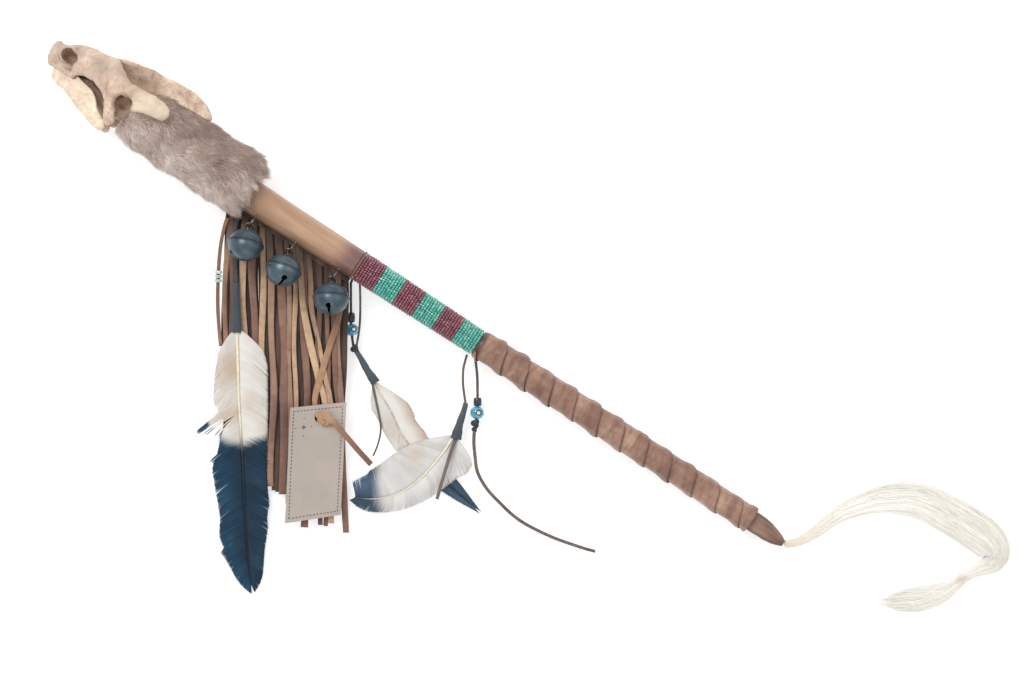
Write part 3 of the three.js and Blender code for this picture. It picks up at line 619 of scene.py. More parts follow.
def card_paint():
    """Buff card with a dotted border and a small plain star. The marks u and v are millimetres on it."""
    p = Paint("printed card")
    u, v = p.mark("u"), p.mark("v")
    fibres = p.noise(500, 5, rough=0.7)
    card = p.noise(30, 3).ramp((0.3, "#ABA097"), (0.6, "#B7ABA2"), (0.8, "#BFB4AB"))
    card = fibres.span(0.5, 0.75, 0, 0.25).mix(card, "#A6978B")

    def dotted(off, along, distance, reach):
        """Two dotted lines at a distance off the middle, which run as far as reach to either side."""
        dots = (along * 2.7).then("SINE").then("GREATER_THAN", -0.2)
        return abs(abs(off) - distance).under(0.38) * dots * abs(along).under(reach)

    beside, above = abs(u - -9.0), abs(v - 24.0)
    star = (beside.then("POWER", 0.5) + above.then("POWER", 0.5)).under(1.62)
    side_dots = (abs(beside - 5.2) + above).under(0.55)
    top_dots = (abs(above - 5.8) + beside).under(0.55)
    star = star.then("MAXIMUM", side_dots.then("MAXIMUM", top_dots))
    border = dotted(u, v, 16.2, 35.4).then("MAXIMUM", dotted(v, u, 35.0, 16.6))
    ink = border.then("MAXIMUM", star) * p.mark("front")
    return p.done((ink * 0.75).mix(card, "#3A3334"), 0.85, fibres, 0.15, 0.0001)


# ---------------------------------------------------------------- staff
def staff_radius(x):
    stations = [(0, 7), (30, 10.6), (112, 11.1), (202, 9.9), (203, 7.8), (297, 7.8), (509, 6.9), (511, 6.6)]
    return np.interp(x, *zip(*stations))


def staff():
    x = np.concatenate([np.linspace(22, 202, 160), np.linspace(203, 505, 30), np.linspace(507, 511, 5)])
    radius = staff_radius(x)
    butt = np.radians(np.linspace(4, 72, 22))
    x = np.concatenate([x, 511 + 26 * np.sin(butt) / math.sin(math.radians(72.5))])
    radius = np.concatenate([radius, 6.7 * np.cos(butt)])
    x, radius = np.append(x, 536.9), np.append(radius, 1.6)
    turn = np.arange(72) * FULL_TURN / 72
    facets = 0.35 * np.cos(5 * turn + 0.6) + 0.25 * np.cos(3 * turn + 2.1)
    butt_share = np.clip((x - 508) / 10, 0, 1) * np.clip((537 - x) / 8, 0, 1)
    wave = 0.16 * np.sin(x[:, None] / 31 + turn) + 0.1 * np.sin(x[:, None] / 13 + 2 * turn)
    r = radius[:, None] + np.minimum(wave, 0.12) * (x[:, None] > 60) + butt_share[:, None] * facets
    rough = np.array(
        [
            [noise.noise(Vector((a / 3.2, math.cos(t) * 2.2, math.sin(t) * 2.2))) for t in turn]
            for a in x[-22:]
        ]
    )
    r[-22:] += 0.3 * rough * butt_share[-22:, None]
    droop = -1.2 * np.clip((x - 511) / 26, 0, 1) ** 1.5
    points = np.stack(
        [np.repeat(x[:, None], 72, 1), r * np.cos(turn) + droop[:, None], r * np.sin(turn)], -1
    )
    build("wooden_staff", rings(points), wood_paint(), "stick", "staff")


# ---------------------------------------------------------------- fur
def fur_radius(x):
    stations = [(24, 9.5), (27, 12), (32, 15), (40, 16.8), (58, 17.4), (104, 17.6), (112, 16), (117, 12.6)]
    return np.interp(x, *zip(*stations))


def fur_middle(x):
    """How far the fur's middle stands off the staff's axis, towards y."""
    return np.interp(x, [24, 40, 100, 117], [1.2, 3.6, 3.4, 1.0])


def fur_mottle_and_painted_light(x, turn):
    """Mottled taupe, with painted light that makes the side the hairs hang to paler."""
    patches = 0.26 * np.sin(x / 9.5 + 1.7 * np.sin(turn)) * np.sin(2.3 * turn + x / 21)
    # The cosine term is painted light that makes the -y side paler.
    return 0.5 + patches - 0.48 * np.cos(turn + 0.25)


def hairs(count, seed):
    """Tapering hairs in small clumps, rooted on the sleeve and combed down the staff."""
    rng = np.random.default_rng(seed)
    clumps = count // 14
    x = np.where(rng.uniform(size=clumps) < 0.1, rng.uniform(24, 31, clumps), rng.uniform(25, 116, clumps))
    turn = rng.uniform(0, FULL_TURN, clumps)
    pick = rng.integers(0, clumps, count)
    hx = np.clip(x[pick] + rng.normal(0, 1.5, count), 24.3, 117)
    ht = turn[pick] + rng.normal(0, 0.1, count)
    out = np.stack([np.zeros(count), np.cos(ht), np.sin(ht)], -1)
    round_ = np.stack([np.zeros(count), -np.sin(ht), np.cos(ht)], -1)
    root = np.stack([hx, fur_middle(hx), 0 * hx], -1) + out * (fur_radius(hx) - 0.6)[:, None]
    length = rng.uniform(8.5, 13.5, clumps)[pick] * rng.uniform(0.75, 1.15, count)
    length *= np.interp(hx, [24, 34, 100, 117], [0.6, 0.95, 1, 0.8]) * (1 + 0.16 * np.cos(ht))
    swirl = 0.5 * np.sin(x / 9 + turn * 1.3) + rng.normal(0, 0.36, clumps)
    swirl = swirl[pick] + rng.normal(0, 0.16, count)
    lift = np.clip(0.58 + 0.18 * np.sin(x / 5 + 3 * turn)[pick] + rng.normal(0, 0.12, count), 0.2, 0.95)
    forward = np.stack([np.interp(hx, [24, 29, 38], [-0.45, 0.3, 1]), 0 * ht, 0 * ht], -1)
    hang = np.array([0.35, -0.5, -0.25])
    first = unit(out * lift[:, None] * 1.35 + forward * 0.85 + round_ * swirl[:, None])
    second = unit(out * (lift[:, None] - 0.28) + forward + round_ * swirl[:, None] * 1.3 + hang * 0.35)
    mid = root + first * (length * 0.48)[:, None]
    tip = mid + second * (length * 0.52)[:, None]
    order = np.argsort(pick, kind="stable")
    starts = np.searchsorted(pick[order], np.arange(clumps))
    sums = np.add.reduceat(tip[order], np.minimum(starts, count - 1), axis=0)
    sizes = np.maximum(np.bincount(pick, minlength=clumps), 1)[:, None]
    tip = tip * 0.42 + (sums / sizes)[pick] * 0.58
    side = unit(np.cross(second, out))
    up = np.cross(side, second)
    width = rng.uniform(0.13, 0.24, count)
    corner = [(1.0, 0.0), (-0.5, 0.8), (-0.5, -0.8)]
    points = []
    for middle, w in ((root, 1.0), (mid, 0.85)):
        for a, b in corner:
            points.append(middle + side * (a * w * width)[:, None] + up * (b * w * width)[:, None])
    points.append(tip)
    points = np.stack(points, 1)
    base = (np.arange(count) * 7)[:, None]
    triangle = np.array([
        (0, 1, 4), (0, 4, 3), (1, 2, 5), (1, 5, 4), (2, 0, 3), (2, 3, 5), (3, 4, 6), (4, 5, 6), (5, 3, 6),
        (0, 2, 1),
    ])
    faces = (base[:, :, None] + triangle[None]).reshape(-1, 3)
    along = np.tile([0, 0, 0, 0.5, 0.5, 0.5, 1.0], count)
    shade = np.clip(
        fur_mottle_and_painted_light(x, turn)[pick] + rng.normal(0, 0.24, clumps)[pick] + rng.normal(0, 0.08, count), 0, 1
    )
    return Shape(points.reshape(-1, 3), [faces], along=along, tint=np.repeat(shade, 7))


def fur():
    paint = fur_paint()
    x = np.linspace(24.2, 117.4, 90)[:, None]
    turn = turns(64)
    outer_r = fur_radius(x) + 0.5 * np.sin(7 * turn + x / 3) * np.sin(x / 4)
    inner_r = np.minimum(11.35, outer_r - 0.6)
    loop = np.concatenate([around(x, outer_r, turn, fur_middle(x)), around(x, inner_r, turn)[::-1]])
    shade = np.clip(fur_mottle_and_painted_light(loop[..., 0], turn), 0, 1)
    hide = looped(loop, along=0.1, tint=shade.reshape(-1))
    build("fur_hide", hide, paint, "stick", "fur_sleeve", uv=("along", "tint"))
    hairs_per_coat = 19000
    for coat in (1, 2):
        shape = hairs(hairs_per_coat, 10 + coat)
        build(
            f"fur_hairs_{coat}", shape, paint, "stick", "fur_sleeve", stands_in=False, uv=("along", "tint")
        )


# ---------------------------------------------------------------- beadwork
BAND_START, BAND_LENGTH, ROWS = 204.4, 15.3, 8


def band_outer(x):
    return np.interp(x, [BAND_START, BAND_START + 6 * BAND_LENGTH], [10.4, 9.3])


def one_bead():
    """A seed bead: a fat ring whose hole lies along x."""
    lat = np.radians(np.linspace(-62, 62, 5))
    outer = [(0.62 * math.sin(a) / math.sin(math.radians(62)), 0.42 + 0.58 * math.cos(a)) for a in lat]
    profile = outer + [(0.5, 0.38), (-0.5, 0.38)]
    return revolve(profile, 9)


def beadwork():
    leather = suede_paint("bead backing", "#3A2A26", "#5A443C", "#7A5F52")
    bore, backing = 7.9, 8.4
    end = BAND_START + 6 * BAND_LENGTH - 0.2
    tube = revolve([(BAND_START, bore), (BAND_START, backing), (end, backing), (end, bore)], 48, tint=0.4)
    build("bead_underlay", tube, leather, "stick", "bead_backing")
    paints = [
        bead_paint("burgundy beads", "#5E3040", "#8B4D5C", "#C4828E"),
        bead_paint("turquoise beads", "#37907F", "#56B9A8", "#B5EBDF"),
    ]
    rng = np.random.default_rng(5)
    bead = one_bead()
    for band in range(6):
        shapes = []
        for r in range(ROWS):
            x = BAND_START + band * BAND_LENGTH + (r + 0.5) * BAND_LENGTH / ROWS
            ring_r = band_outer(x) - 0.98
            count = int(FULL_TURN * ring_r / 1.62)
            phase = rng.uniform(0, FULL_TURN)
            for b in range(count):
                turn = phase + FULL_TURN * (b + rng.normal(0, 0.05)) / count
                out = np.array([0, math.cos(turn), math.sin(turn)])
                round_ = np.array([0, -math.sin(turn), math.cos(turn)])
                size = rng.uniform(0.93, 1.04)
                axes = np.stack([round_ * 1.28 * size, out * 0.97 * size, np.array([0.97 * size, 0, 0])], 1)
                middle = np.array([x + rng.normal(0, 0.05), 0, 0]) + out * (ring_r + rng.normal(0, 0.05))
                moved = bead.moved(axes, middle)
                moved.marks = {
                    "tint": np.full(len(bead.points), float(np.clip(rng.normal(0.5, 0.13), 0, 1)))
                }
                shapes.append(moved.outward())
        build(f"bead_rows_{band + 1}", join(shapes), paints[band % 2], "stick", f"bead_band_{band + 1}")


def collar():
    """A narrow hide binding between the bare wood and the first row of beads."""
    paint = suede_paint("collar hide", "#4A2F2B", "#7B5348", "#A98272", 0.6)
    x = np.linspace(202.5, 204.2, 7)
    bulge = 10.2 + 0.28 * np.sin(np.linspace(0.2, math.pi - 0.2, 7))
    profile = list(zip(x, bulge)) + [(204.2, 8.3), (202.5, 8.3)]
    shape = revolve(profile, 72, tint=0.45)
    shape.points[:, 1:] *= 1 + 0.006 * np.sin(9 * np.arctan2(shape.points[:, 2:], shape.points[:, 1:2]))
    build("hide_collar", shape, paint, "stick", "collar")


# ---------------------------------------------------------------- grip
def grip():
    """One strip wound from the beads to the butt. Each turn's butt side rides over the next turn."""
    pitch, width, first, last = 18.6, 22.5, 299.5, 510.5
    steps_per_turn = 64
    ridge_at_side = 311.6
    n = int((last + width * 0.8 - first) / pitch * steps_per_turn)
    ridge = first + np.arange(n + 1) / steps_per_turn * pitch
    angle = FULL_TURN * (ridge - ridge_at_side) / pitch
    butt_edge = np.minimum(ridge, last + 0.3 * np.sin(angle))
    head_edge = np.clip(ridge - width, 296.9, last - 1.6)
    across = np.array(
        [
            0, 0.03, 0.08, 0.14, 0.2, 0.28, 0.37, 0.46, 0.55, 0.63, 0.7, 0.76, 0.82, 0.87, 0.91, 0.945,
            0.97, 0.988, 1.0
        ]
    )
    rise = np.interp(
        across, [0, 0.17, 0.4, 0.6, 0.68, 0.77, 0.88, 0.95, 1],
        [0.02, 0.38, 0.47, 0.53, 0.6, 0.88, 1.0, 0.98, 0.86]
    )
    phase = angle[:, None]
    wobble = 0.35 * np.sin(phase * 0.53 + 1) + 0.25 * np.sin(phase * 2.1)
    shift = wobble * np.clip(across - 0.6, 0, 1) * 1.5
    x = head_edge[:, None] + across * (butt_edge - head_edge)[:, None] + shift
    wood = np.interp(x, [297, 511], [7.8, 6.75])
    swell = 1 + 0.14 * np.sin(phase * 1.37 + 0.4) + 0.08 * np.sin(phase * 3.3)
    amount = np.interp(x, [297, 511], [2.3, 1.5]) * swell
    pucker = 0.11 * np.sin(phase * 6.3 + across * 5 + 2 * np.sin(phase * 0.7))
    pucker = pucker + 0.06 * np.sin(phase * 13.7 + across * 11)
    soft = 0.22 * np.sin(phase * 2.3 + across * 6.5 + np.sin(phase))
    folds = (pucker + soft * 0.5) * np.clip(across * 3, 0, 1) * np.interp(across, [0.9, 1], [1, 0.4])
    high = wood + 0.85 + rise * amount + folds
    thick = 0.75 * np.interp(across, [0, 0.05, 0.95, 1], [0.3, 1, 1, 0.55])
    low = np.maximum(high - thick, wood + 0.05)

    def skin(r):
        return np.stack([x, r * np.cos(phase), r * np.sin(phase)], -1)

    loop = np.concatenate([skin(low), skin(high)[:, ::-1]], 1)
    # Painted shade: dark along both lap lines and under the strip, and softer where the ridge begins.
    edge = np.interp(
        across, [0, 0.17, 0.22, 0.6, 0.69, 0.78, 0.93, 0.985, 1],
        [0.95, 0.75, 0.0, 0.0, 0.36, 0.0, 0.0, 0.55, 1.0]
    )
    worn = np.interp(across, [0.6, 0.76, 0.95, 1], [0, 1, 0.8, 1])
    marks = {
        "edge": np.concatenate([np.full(len(across), 0.8), edge[::-1]]),
        "worn": np.concatenate([0 * worn, worn[::-1]])
    }
    marks = {k: v[None] for k, v in marks.items()}
    build("wound_grip", rings(loop, **marks), grip_paint(), "stick", "grip_wrap")


# ---------------------------------------------------------------- bells
EYE_RING, EYE_WIRE = 3.2, 0.8
# Each bell: its place along the staff, its lean in degrees, the spin of its mouth slot in radians and the
# slack round its pellet.
BELLS = [(133.2, 12, 1.45, 1.8), (164.0, 18, -0.29, 0.6), (196.9, 3, 0.17, 0.6)]
MOUTH_TIP = math.radians(15)
BELL_RADIUS, BELL_RIM, BELL_WALL, PELLET_RADIUS = 11.2, 12.1, 1.0, 3.2
UPPER_HEIGHT, LOWER_HEIGHT = 10.0, 11.0
BELL_DROP, HOOK_HEIGHT = 12.6, 13.3


def bell_frame(x, lean):
    """The eye's middle, the way out of the wood, the bell's pivot, and the bell's side, up and front."""
    eye = np.array([x - 3.2, -14, 9.2])
    outwards = unit(np.array([0, -14, 9.2]))
    turn, tilt = HANG - math.radians(lean), math.radians(5)
    hang = np.array([math.sin(turn) * math.cos(tilt), -math.cos(turn) * math.cos(tilt), math.sin(tilt)])
    up = -hang
    side = unit(np.cross([0, 0, 1], up))
    return eye, outwards, eye + outwards * EYE_RING, side, up, np.cross(side, up)


def torus(radius, wire):
    """A wire ring round z, in the plane of x and y."""
    turn = np.linspace(0, FULL_TURN, 48)
    out = np.stack([np.cos(turn), np.sin(turn), 0 * turn], -1)
    c = circle(12) * wire
    return rings((radius * out)[:, None] + c[None, :, :1] * out[:, None] + c[None, :, 1:] * UP)


def shell_profile(height, sign):
    """Half a bell's wall in (height, radius), with a rolled rim. The sign is 1 above and -1 below."""
    radius, rim, wall = BELL_RADIUS, BELL_RIM, BELL_WALL
    lat = np.radians(np.linspace(4, 90, 22))
    outer = [(sign * (0.7 + (height - 0.7) * math.sin(a)), radius * math.cos(a)) for a in lat]
    inner = [
        (sign * (0.7 + (height - wall - 0.7) * math.sin(a)), (radius - wall) * math.cos(a))
        for a in lat[::-1]
    ]
    rolled = [(0.12, 0.35), (0.2, 0.08), (0.45, 0), (0.75, 0.1), (0.95, 0.4), (1.1, 0.85)]
    lip = [(sign * 0.12, radius - wall)] + [(sign * h, rim - inset) for h, inset in rolled]
    return lip + [(h, max(r, 0.02)) for h, r in outer + inner]


def rim_shade_marks(shape):
    """Marks the rim's seam for painted shade."""
    radius = np.linalg.norm(shape.points[:, 1:], axis=1)
    shape.marks = {"edge": np.clip((radius - (BELL_RIM - 0.5)) / 0.4, 0, 1)}
    return shape


def cut_away(piece, tools):
    """Subtracts tool objects from a piece and removes them."""
    for tool in tools:
        cutter = piece.modifiers.new("cut", "BOOLEAN")
        cutter.object, cutter.operation, cutter.solver = tool, "DIFFERENCE", "EXACT"
    bpy.context.view_layer.update()
    mesh = bpy.data.meshes.new_from_object(piece.evaluated_get(bpy.context.evaluated_depsgraph_get()))
    piece.modifiers.clear()
    piece.data = mesh
    for tool in tools:
        bpy.data.objects.remove(tool)


def slot_tools(basis, middle, spin):
    """A slot over the bell's mouth and a round hole at each end of it."""
    shapes = []
    arc = np.radians(np.linspace(-44, 44, 30))
    path = np.stack([-11.4 * np.cos(arc), 0 * arc, 11.4 * np.sin(arc)], -1)
    shapes.append(
        sweep(path, [(-0.85, -3), (0.85, -3), (0.85, 3), (-0.85, 3)], up=(0, 1, 0), roll=math.pi / 2)
    )
    for side in (-1, 1):
        lat = math.radians(44)
        out = np.array([-math.sin(lat), 0, side * math.cos(lat)])
        ends = [out * 6.5, out * 16]
        shapes.append(sweep(np.array(ends), circle(28), 1.95, up=(0, 1, 0)))
    tools = []
    c, s = math.cos(spin), math.sin(spin)
    turn = np.array([[1, 0, 0], [0, c, -s], [0, s, c]])
    for shape in shapes:
        moved = shape.moved(basis @ turn, middle).outward()
        mesh = bpy.data.meshes.new("tool")
        faces = [f.tolist() for block in moved.faces for f in block]
        mesh.from_pydata(row(moved.points).tolist(), [], faces)
        tool = bpy.data.objects.new("tool", mesh)
        bpy.context.scene.collection.objects.link(tool)
        tools.append(tool)
    return tools


def bells():
    paint, wire = bell_paint(), steel_paint()
    for number, (x, lean, spin, slack) in enumerate(BELLS, 1):
        body = f"bell_{number}"
        eye, outwards, pivot, side, up, front = bell_frame(x, lean)
        middle = pivot - up * BELL_DROP
        hook = middle + up * HOOK_HEIGHT
        cos, sin = math.cos(MOUTH_TIP), math.sin(MOUTH_TIP)
        up, front = up * cos + front * sin, front * cos - up * sin
        basis = np.stack([up, side, front], 1)
        for part, height, sign in (("upper", UPPER_HEIGHT, 1), ("lower", LOWER_HEIGHT, -1)):
            shape = revolve(shell_profile(height, sign), 80)
            moved = rim_shade_marks(shape).moved(basis, middle).outward()
            piece = build(f"{body}_{part}", moved, paint, body, f"{body}_{part}_shell")
            if part == "lower":
                cut_away(piece, slot_tools(basis, middle, spin))
                crisp(piece)
        hook_up = unit(hook + outwards * 0.2 - (middle + up * 9.5))
        axes = np.stack([side, hook_up, np.cross(side, hook_up)], 1)
        loop = torus(2.4, 0.6).moved(axes, middle + up * UPPER_HEIGHT + hook_up * 2.9)
        profile = [(9.7, 0.4), (9.7, 3.0), (10.05, 3.3), (10.4, 3.0), (10.7, 1.6), (10.9, 0.5)]
        washer = revolve(profile, 32).moved(basis, middle)
        build(f"{body}_wire_loop", join([loop.outward(), washer.outward()]), wire, body, f"{body}_loop")
        axes = np.stack([outwards, np.cross([1, 0, 0], outwards), [1, 0, 0]], 1)
        ring = torus(EYE_RING, EYE_WIRE).moved(axes, eye)
        path = np.stack([eye - outwards * (EYE_RING + t) for t in np.linspace(-0.2, 6.9, 60)])
        thread = EYE_WIRE * (0.92 + 0.08 * np.sin(np.linspace(0, 22 * math.pi, 60)))
        shank = sweep(path, circle(12), thread, up=(1, 0, 0))
        build(f"eye_screw_{number}", join([ring.outward(), shank]), wire, "stick", f"screw_eye_{number}")
        roll = BELL_RADIUS - BELL_WALL - PELLET_RADIUS - slack
        down = unit(np.array([0, 0, -1.0]) - up * (-up[2]))
        pellet = ball(middle + down * roll - up * 0.4, [PELLET_RADIUS] * 3, 14, 20)
        build(f"bell_pellet_{number}", pellet, wire, f"pellet_{number}", f"{body}_pellet")


# ---------------------------------------------------------------- skull
# The skull is worked out as a distance field in its own frame: a runs from the snout to the back, b up
# through the crown and c out to the skull's left. The halves mirror each other apart from a little noise.
SKULL_AT = np.array([-40.0, 7.1, 0])
SKULL_PITCH = math.radians(10.6)
SKULL_TURN = np.array([
    [math.cos(SKULL_PITCH), -math.sin(SKULL_PITCH), 0],
    [math.sin(SKULL_PITCH), math.cos(SKULL_PITCH), 0],
    [0, 0, 1],
])
CELL = 0.7


def blend_min(a, b, k):
    h = np.clip(0.5 + 0.5 * (b - a) / k, 0, 1)
    return b + (a - b) * h - k * h * (1 - h)


def carve(field, tool, k=1.0):
    return -blend_min(-field, tool, k)


def blob(p, middle, radii):
    a, b, c = (q - m for q, m in zip(p, middle))
    x, y, z = radii
    near = np.sqrt((a / x) ** 2 + (b / y) ** 2 + (c / z) ** 2) + 1e-9
    slope = np.sqrt((a / x**2) ** 2 + (b / y**2) ** 2 + (c / z**2) ** 2) + 1e-9
    return near * (near - 1) / slope


def rod(p, start, end, r0, r1):
    a, b, c = p
    s, e = np.array(start, float), np.array(end, float)
    d = e - s
    t = np.clip(((a - s[0]) * d[0] + (b - s[1]) * d[1] + (c - s[2]) * d[2]) / (d @ d), 0, 1)
    gap = np.sqrt((a - s[0] - t * d[0]) ** 2 + (b - s[1] - t * d[1]) ** 2 + (c - s[2] - t * d[2]) ** 2)
    return gap - (r0 + (r1 - r0) * t)


def outline(a, b, points):
    """Signed distance to a closed outline in the side view, which is the same at every c."""
    a2, b2 = a[:, :, 0], b[:, :, 0]
    points = np.asarray(points, float)
    best = np.full(a2.shape, 1e9)
    inside = np.zeros(a2.shape, bool)
    for (x0, y0), (x1, y1) in zip(points, np.roll(points, -1, 0)):
        dx, dy = x1 - x0, y1 - y0
        t = np.clip(((a2 - x0) * dx + (b2 - y0) * dy) / (dx * dx + dy * dy), 0, 1)
        best = np.minimum(best, (a2 - x0 - t * dx) ** 2 + (b2 - y0 - t * dy) ** 2)
        crosses = (y0 > b2) != (y1 > b2)
        if dy:
            inside ^= crosses & (a2 < dx * (b2 - y0) / dy + x0)
    return (np.sqrt(best) * np.where(inside, -1, 1))[:, :, None]


def slab(flat, offset, half_thickness, rounding=1.0):
    """An outline given a thickness about a bent middle surface, with rounded rims."""
    u, v = flat + rounding, np.abs(offset) - half_thickness + rounding
    inside = np.minimum(np.maximum(u, v), 0)
    outside = np.sqrt(np.maximum(u, 0) ** 2 + np.maximum(v, 0) ** 2)
    return inside + outside - rounding


def tube_of_stations(p, stations, power=2.4):
    """A rounded body whose top, bottom and half width are given at stations along a."""
    a, b, c = p
    s = np.asarray(stations, float)
    top, bottom, half = (np.interp(a, s[:, 0], s[:, i]) for i in (1, 2, 3))
    middle, tall = (top + bottom) / 2, (top - bottom) / 2
    ratio = ((np.abs(c) / half) ** power + (np.abs(b - middle) / tall) ** power) ** (1 / power)
    body = (ratio - 1) * np.minimum(half, tall)
    return np.maximum(body, np.maximum(s[0, 0] - a, a - s[-1, 0]))


def cranium_field(p):
    a, b, c = p
    c = np.abs(c)
    q = (a, b, c)
    snout = tube_of_stations(q, [
        (-0.3, 4.2, -3.2, 4.5), (1.5, 8.6, -6.6, 7.0), (3, 9.4, -7.4, 8.2), (7, 9.3, -8.8, 10.0),
        (11, 9.4, -9.4, 11.8), (16, 11.6, -9.6, 14.4), (21, 13.0, -9.0, 17.0), (27, 13.4, -6.4, 20.0),
        (33, 12.5, -5.0, 22.0), (39, 12.6, -4.0, 22.5), (45, 13.2, -3.0, 20.5), (50, 13.8, 0.0, 16.0),
        (55, 14.2, 3.0, 10.5), (60, 14.3, 5.0, 5.5), (66, 14.4, 6.0, 3.2),
    ])
    side = outline(a, b, [
        (17, 9), (18.5, -4), (21, -9.5), (23.4, -7.4), (28, -6.4), (34.7, -6.9), (41.2, -10.7), (46.2, -16),
        (48.9, -24.6), (51.1, -28), (53.4, -29.4), (55.6, -28.6), (56.9, -25.6), (58.4, -22), (60.6, -17.2),
        (64.6, -15.4), (71.9, -14.0), (80.7, -13.9), (84.9, -14.2), (87.6, -10.2), (86.9, -5.4),
        (81.9, -2.5), (74.6, -0.6), (66.2, 0.2), (58.7, 0.2), (53.5, 4.5), (48.5, 9.0), (44.5, 12.0),
        (36, 10.5), (27, 11),
    ])
    bow = np.interp(
        a, [17, 24, 31, 38, 46, 52, 58, 66, 75, 84, 88],
        [15.2, 18.6, 21.8, 25.0, 28.0, 29.3, 29.0, 27.8, 26.0, 23.2, 21.8]
    )
    bow = bow - 0.034 * np.maximum(b + 4, 0) ** 1.9 + 0.02 * np.minimum(b + 16, 0) * 4
    thick = np.interp(a, [17, 40, 52, 60, 66, 78, 88], [2.4, 2.2, 2.8, 3.2, 3.4, 3.6, 2.6])
    cheek = slab(side, c - bow, thick, 1.9)
    column = rod(q, (49.4, -9, 27.5), (53.6, -26.5, 28.6), 3.6, 2.9)
    ridge = rod(q, (61, -3.5, 29), (84.5, -9.2, 24.4), 3.6, 3.4)
    brow = rod(q, (19.5, 9.5, 13.5), (33, 8.5, 20), 2.6, 2.4)
    braincase = blob(q, (56, 3, 0), (17, 9.5, 11.5))
    otic = rod(q, (58, 2, 7), (59.5, -6, 25), 6.5, 5.2)
    base = rod(q, (40, -3, 0), (69, -4, 0), 5.5, 4.6)
    blade = outline(a, b, [
        (46, 13.9), (56.1, 14.4), (68.3, 14.7), (73.6, 13.9), (85.1, 13.5), (98.1, 11.5), (107.2, 7.1),
        (112.2, 2.6), (113.7, 0.2), (112.9, -2.0), (109.5, -2.5), (98.9, -0.8), (90.2, 0.3), (80.2, 0.8),
        (70.3, -1.8), (56, -3), (48, 3),
    ])
    low_rim = np.interp(a, [60, 75, 95, 110], [-1.5, 0.6, -0.6, -2.4]) + 1.6
    blade_thick = np.interp(a, [50, 70, 90, 110], [3.2, 2.0, 1.7, 1.8])
    blade_thick = blade_thick + 0.9 * np.exp(-((b - low_rim) / 2.2) ** 2)
    crest = slab(blade, c, blade_thick, 1.1)
    roof_edge = rod(q, (45, 11.6, 13), (58, 11.8, 5), 2.0, 1.6)

    palate = np.minimum(
        rod(q, (21, -7.5, 6), (42, -12.6, 11), 5.2, 5.6), rod(q, (40, -12.6, 11), (51, -21.5, 14), 5.2, 4.4)
    )
    inner_ear = blob(q, (57.5, -13, 8), (9.5, 10.5, 10.5))
    field = blend_min(snout, cheek, 3.2)
    field = blend_min(field, brow, 2.4)
    field = blend_min(field, blend_min(braincase, base, 3), 2.5)
    field = blend_min(field, crest, 2.2)
    field = blend_min(field, otic, 2.6)
    field = blend_min(field, blend_min(column, ridge, 1.6), 1.8)
    field = blend_min(field, roof_edge, 2.0)

    lip = rod(q, (3.2, -5.5, 3.5), (22, -8.6, 15.8), 1.9, 2.2)
    beak = rod(q, (2.6, -3, 0), (3.4, -8.6, 0), 2.2, 1.1)
    field = blend_min(field, blend_min(lip, beak, 1.2), 1.6)

    mouth = blob(q, (17, -12.5, 0), (17, 7.5, 10.5))
    back_mouth = blob(q, (40, -15, 0), (22, 11, 20.5))
    field = carve(carve(field, mouth, 1.0), back_mouth, 1.5)
    field = blend_min(field, np.minimum(palate, inner_ear), 1.5)
    temple = blob(q, (55.5, 4.5, 18.5), (12.5, 8.5, 8.0))
    field = carve(field, temple, 1.4)
    behind = blob(q, (71, 4, 14.5), (12, 11, 9.5))
    field = carve(field, behind, 1.6)

    rim = np.abs(blob(q, (13.2, 2.8, 13.2), (6.4, 5.2, 4.4))) - 0.5
    field = blend_min(field, rim, 1.0)
    orbit = np.minimum(
        rod(q, (13.0, 2.2, 6.5), (12.2, 2.9, 24), 3.8, 4.7),
        rod(q, (15.0, 1.6, 6.5), (15.9, 1.5, 24), 3.5, 4.4)
    )
    field = carve(field, orbit, 0.8)
    ear = rod(q, (58.4, -13.0, 20.0), (58.0, -13.6, 40), 4.9, 7.6)
    field = carve(field, ear, 1.2)
    ear_top = blob(q, (59.2, -19.5, 30.5), (4.0, 6.4, 9.0))
    field = carve(field, ear_top, 1.0)
    nostril = blob(q, (-0.6, 2.2, 0), (4.2, 3.4, 3.6))
    field = carve(field, nostril, 0.8)
    dip = blob(q, (7.6, 10.4, 0), (3.4, 2.0, 7))
    return carve(field, dip, 1.0)


def jaw_field(p):
    a, b, c = p
    c = np.abs(c)
    side = outline(a, b, [
        (6.0, -7.6), (6.6, -12.6), (9.0, -15.2), (14.7, -17.8), (21.9, -21.2), (30.6, -26.6), (40, -31.6),
        (47, -34.4), (50.2, -35.0), (52.2, -33.4), (52.6, -30.6), (50.6, -28.0), (47.2, -25.2),
        (43.8, -21.8), (40.5, -17.0), (36.5, -12.6), (31.5, -10.6), (27.0, -8.9), (23.0, -7.0), (19.0, -6.0),
        (14, -6.0), (9, -6.4),
    ])
    bow = np.interp(a, [6, 9, 14, 20, 27, 34, 42, 52], [0.5, 4.0, 8.6, 12.8, 16.6, 20.4, 24.0, 27.0])
    thick = np.interp(a, [6, 12, 30, 46, 52], [3.6, 2.6, 2.4, 2.6, 2.0])
    half = slab(side, c - bow, thick, 1.5)
    chin = rod((a, b, c), (8.4, -13.0, 0), (13.5, -15.6, 8.0), 2.3, 2.3)
    return blend_min(half, chin, 1.6)


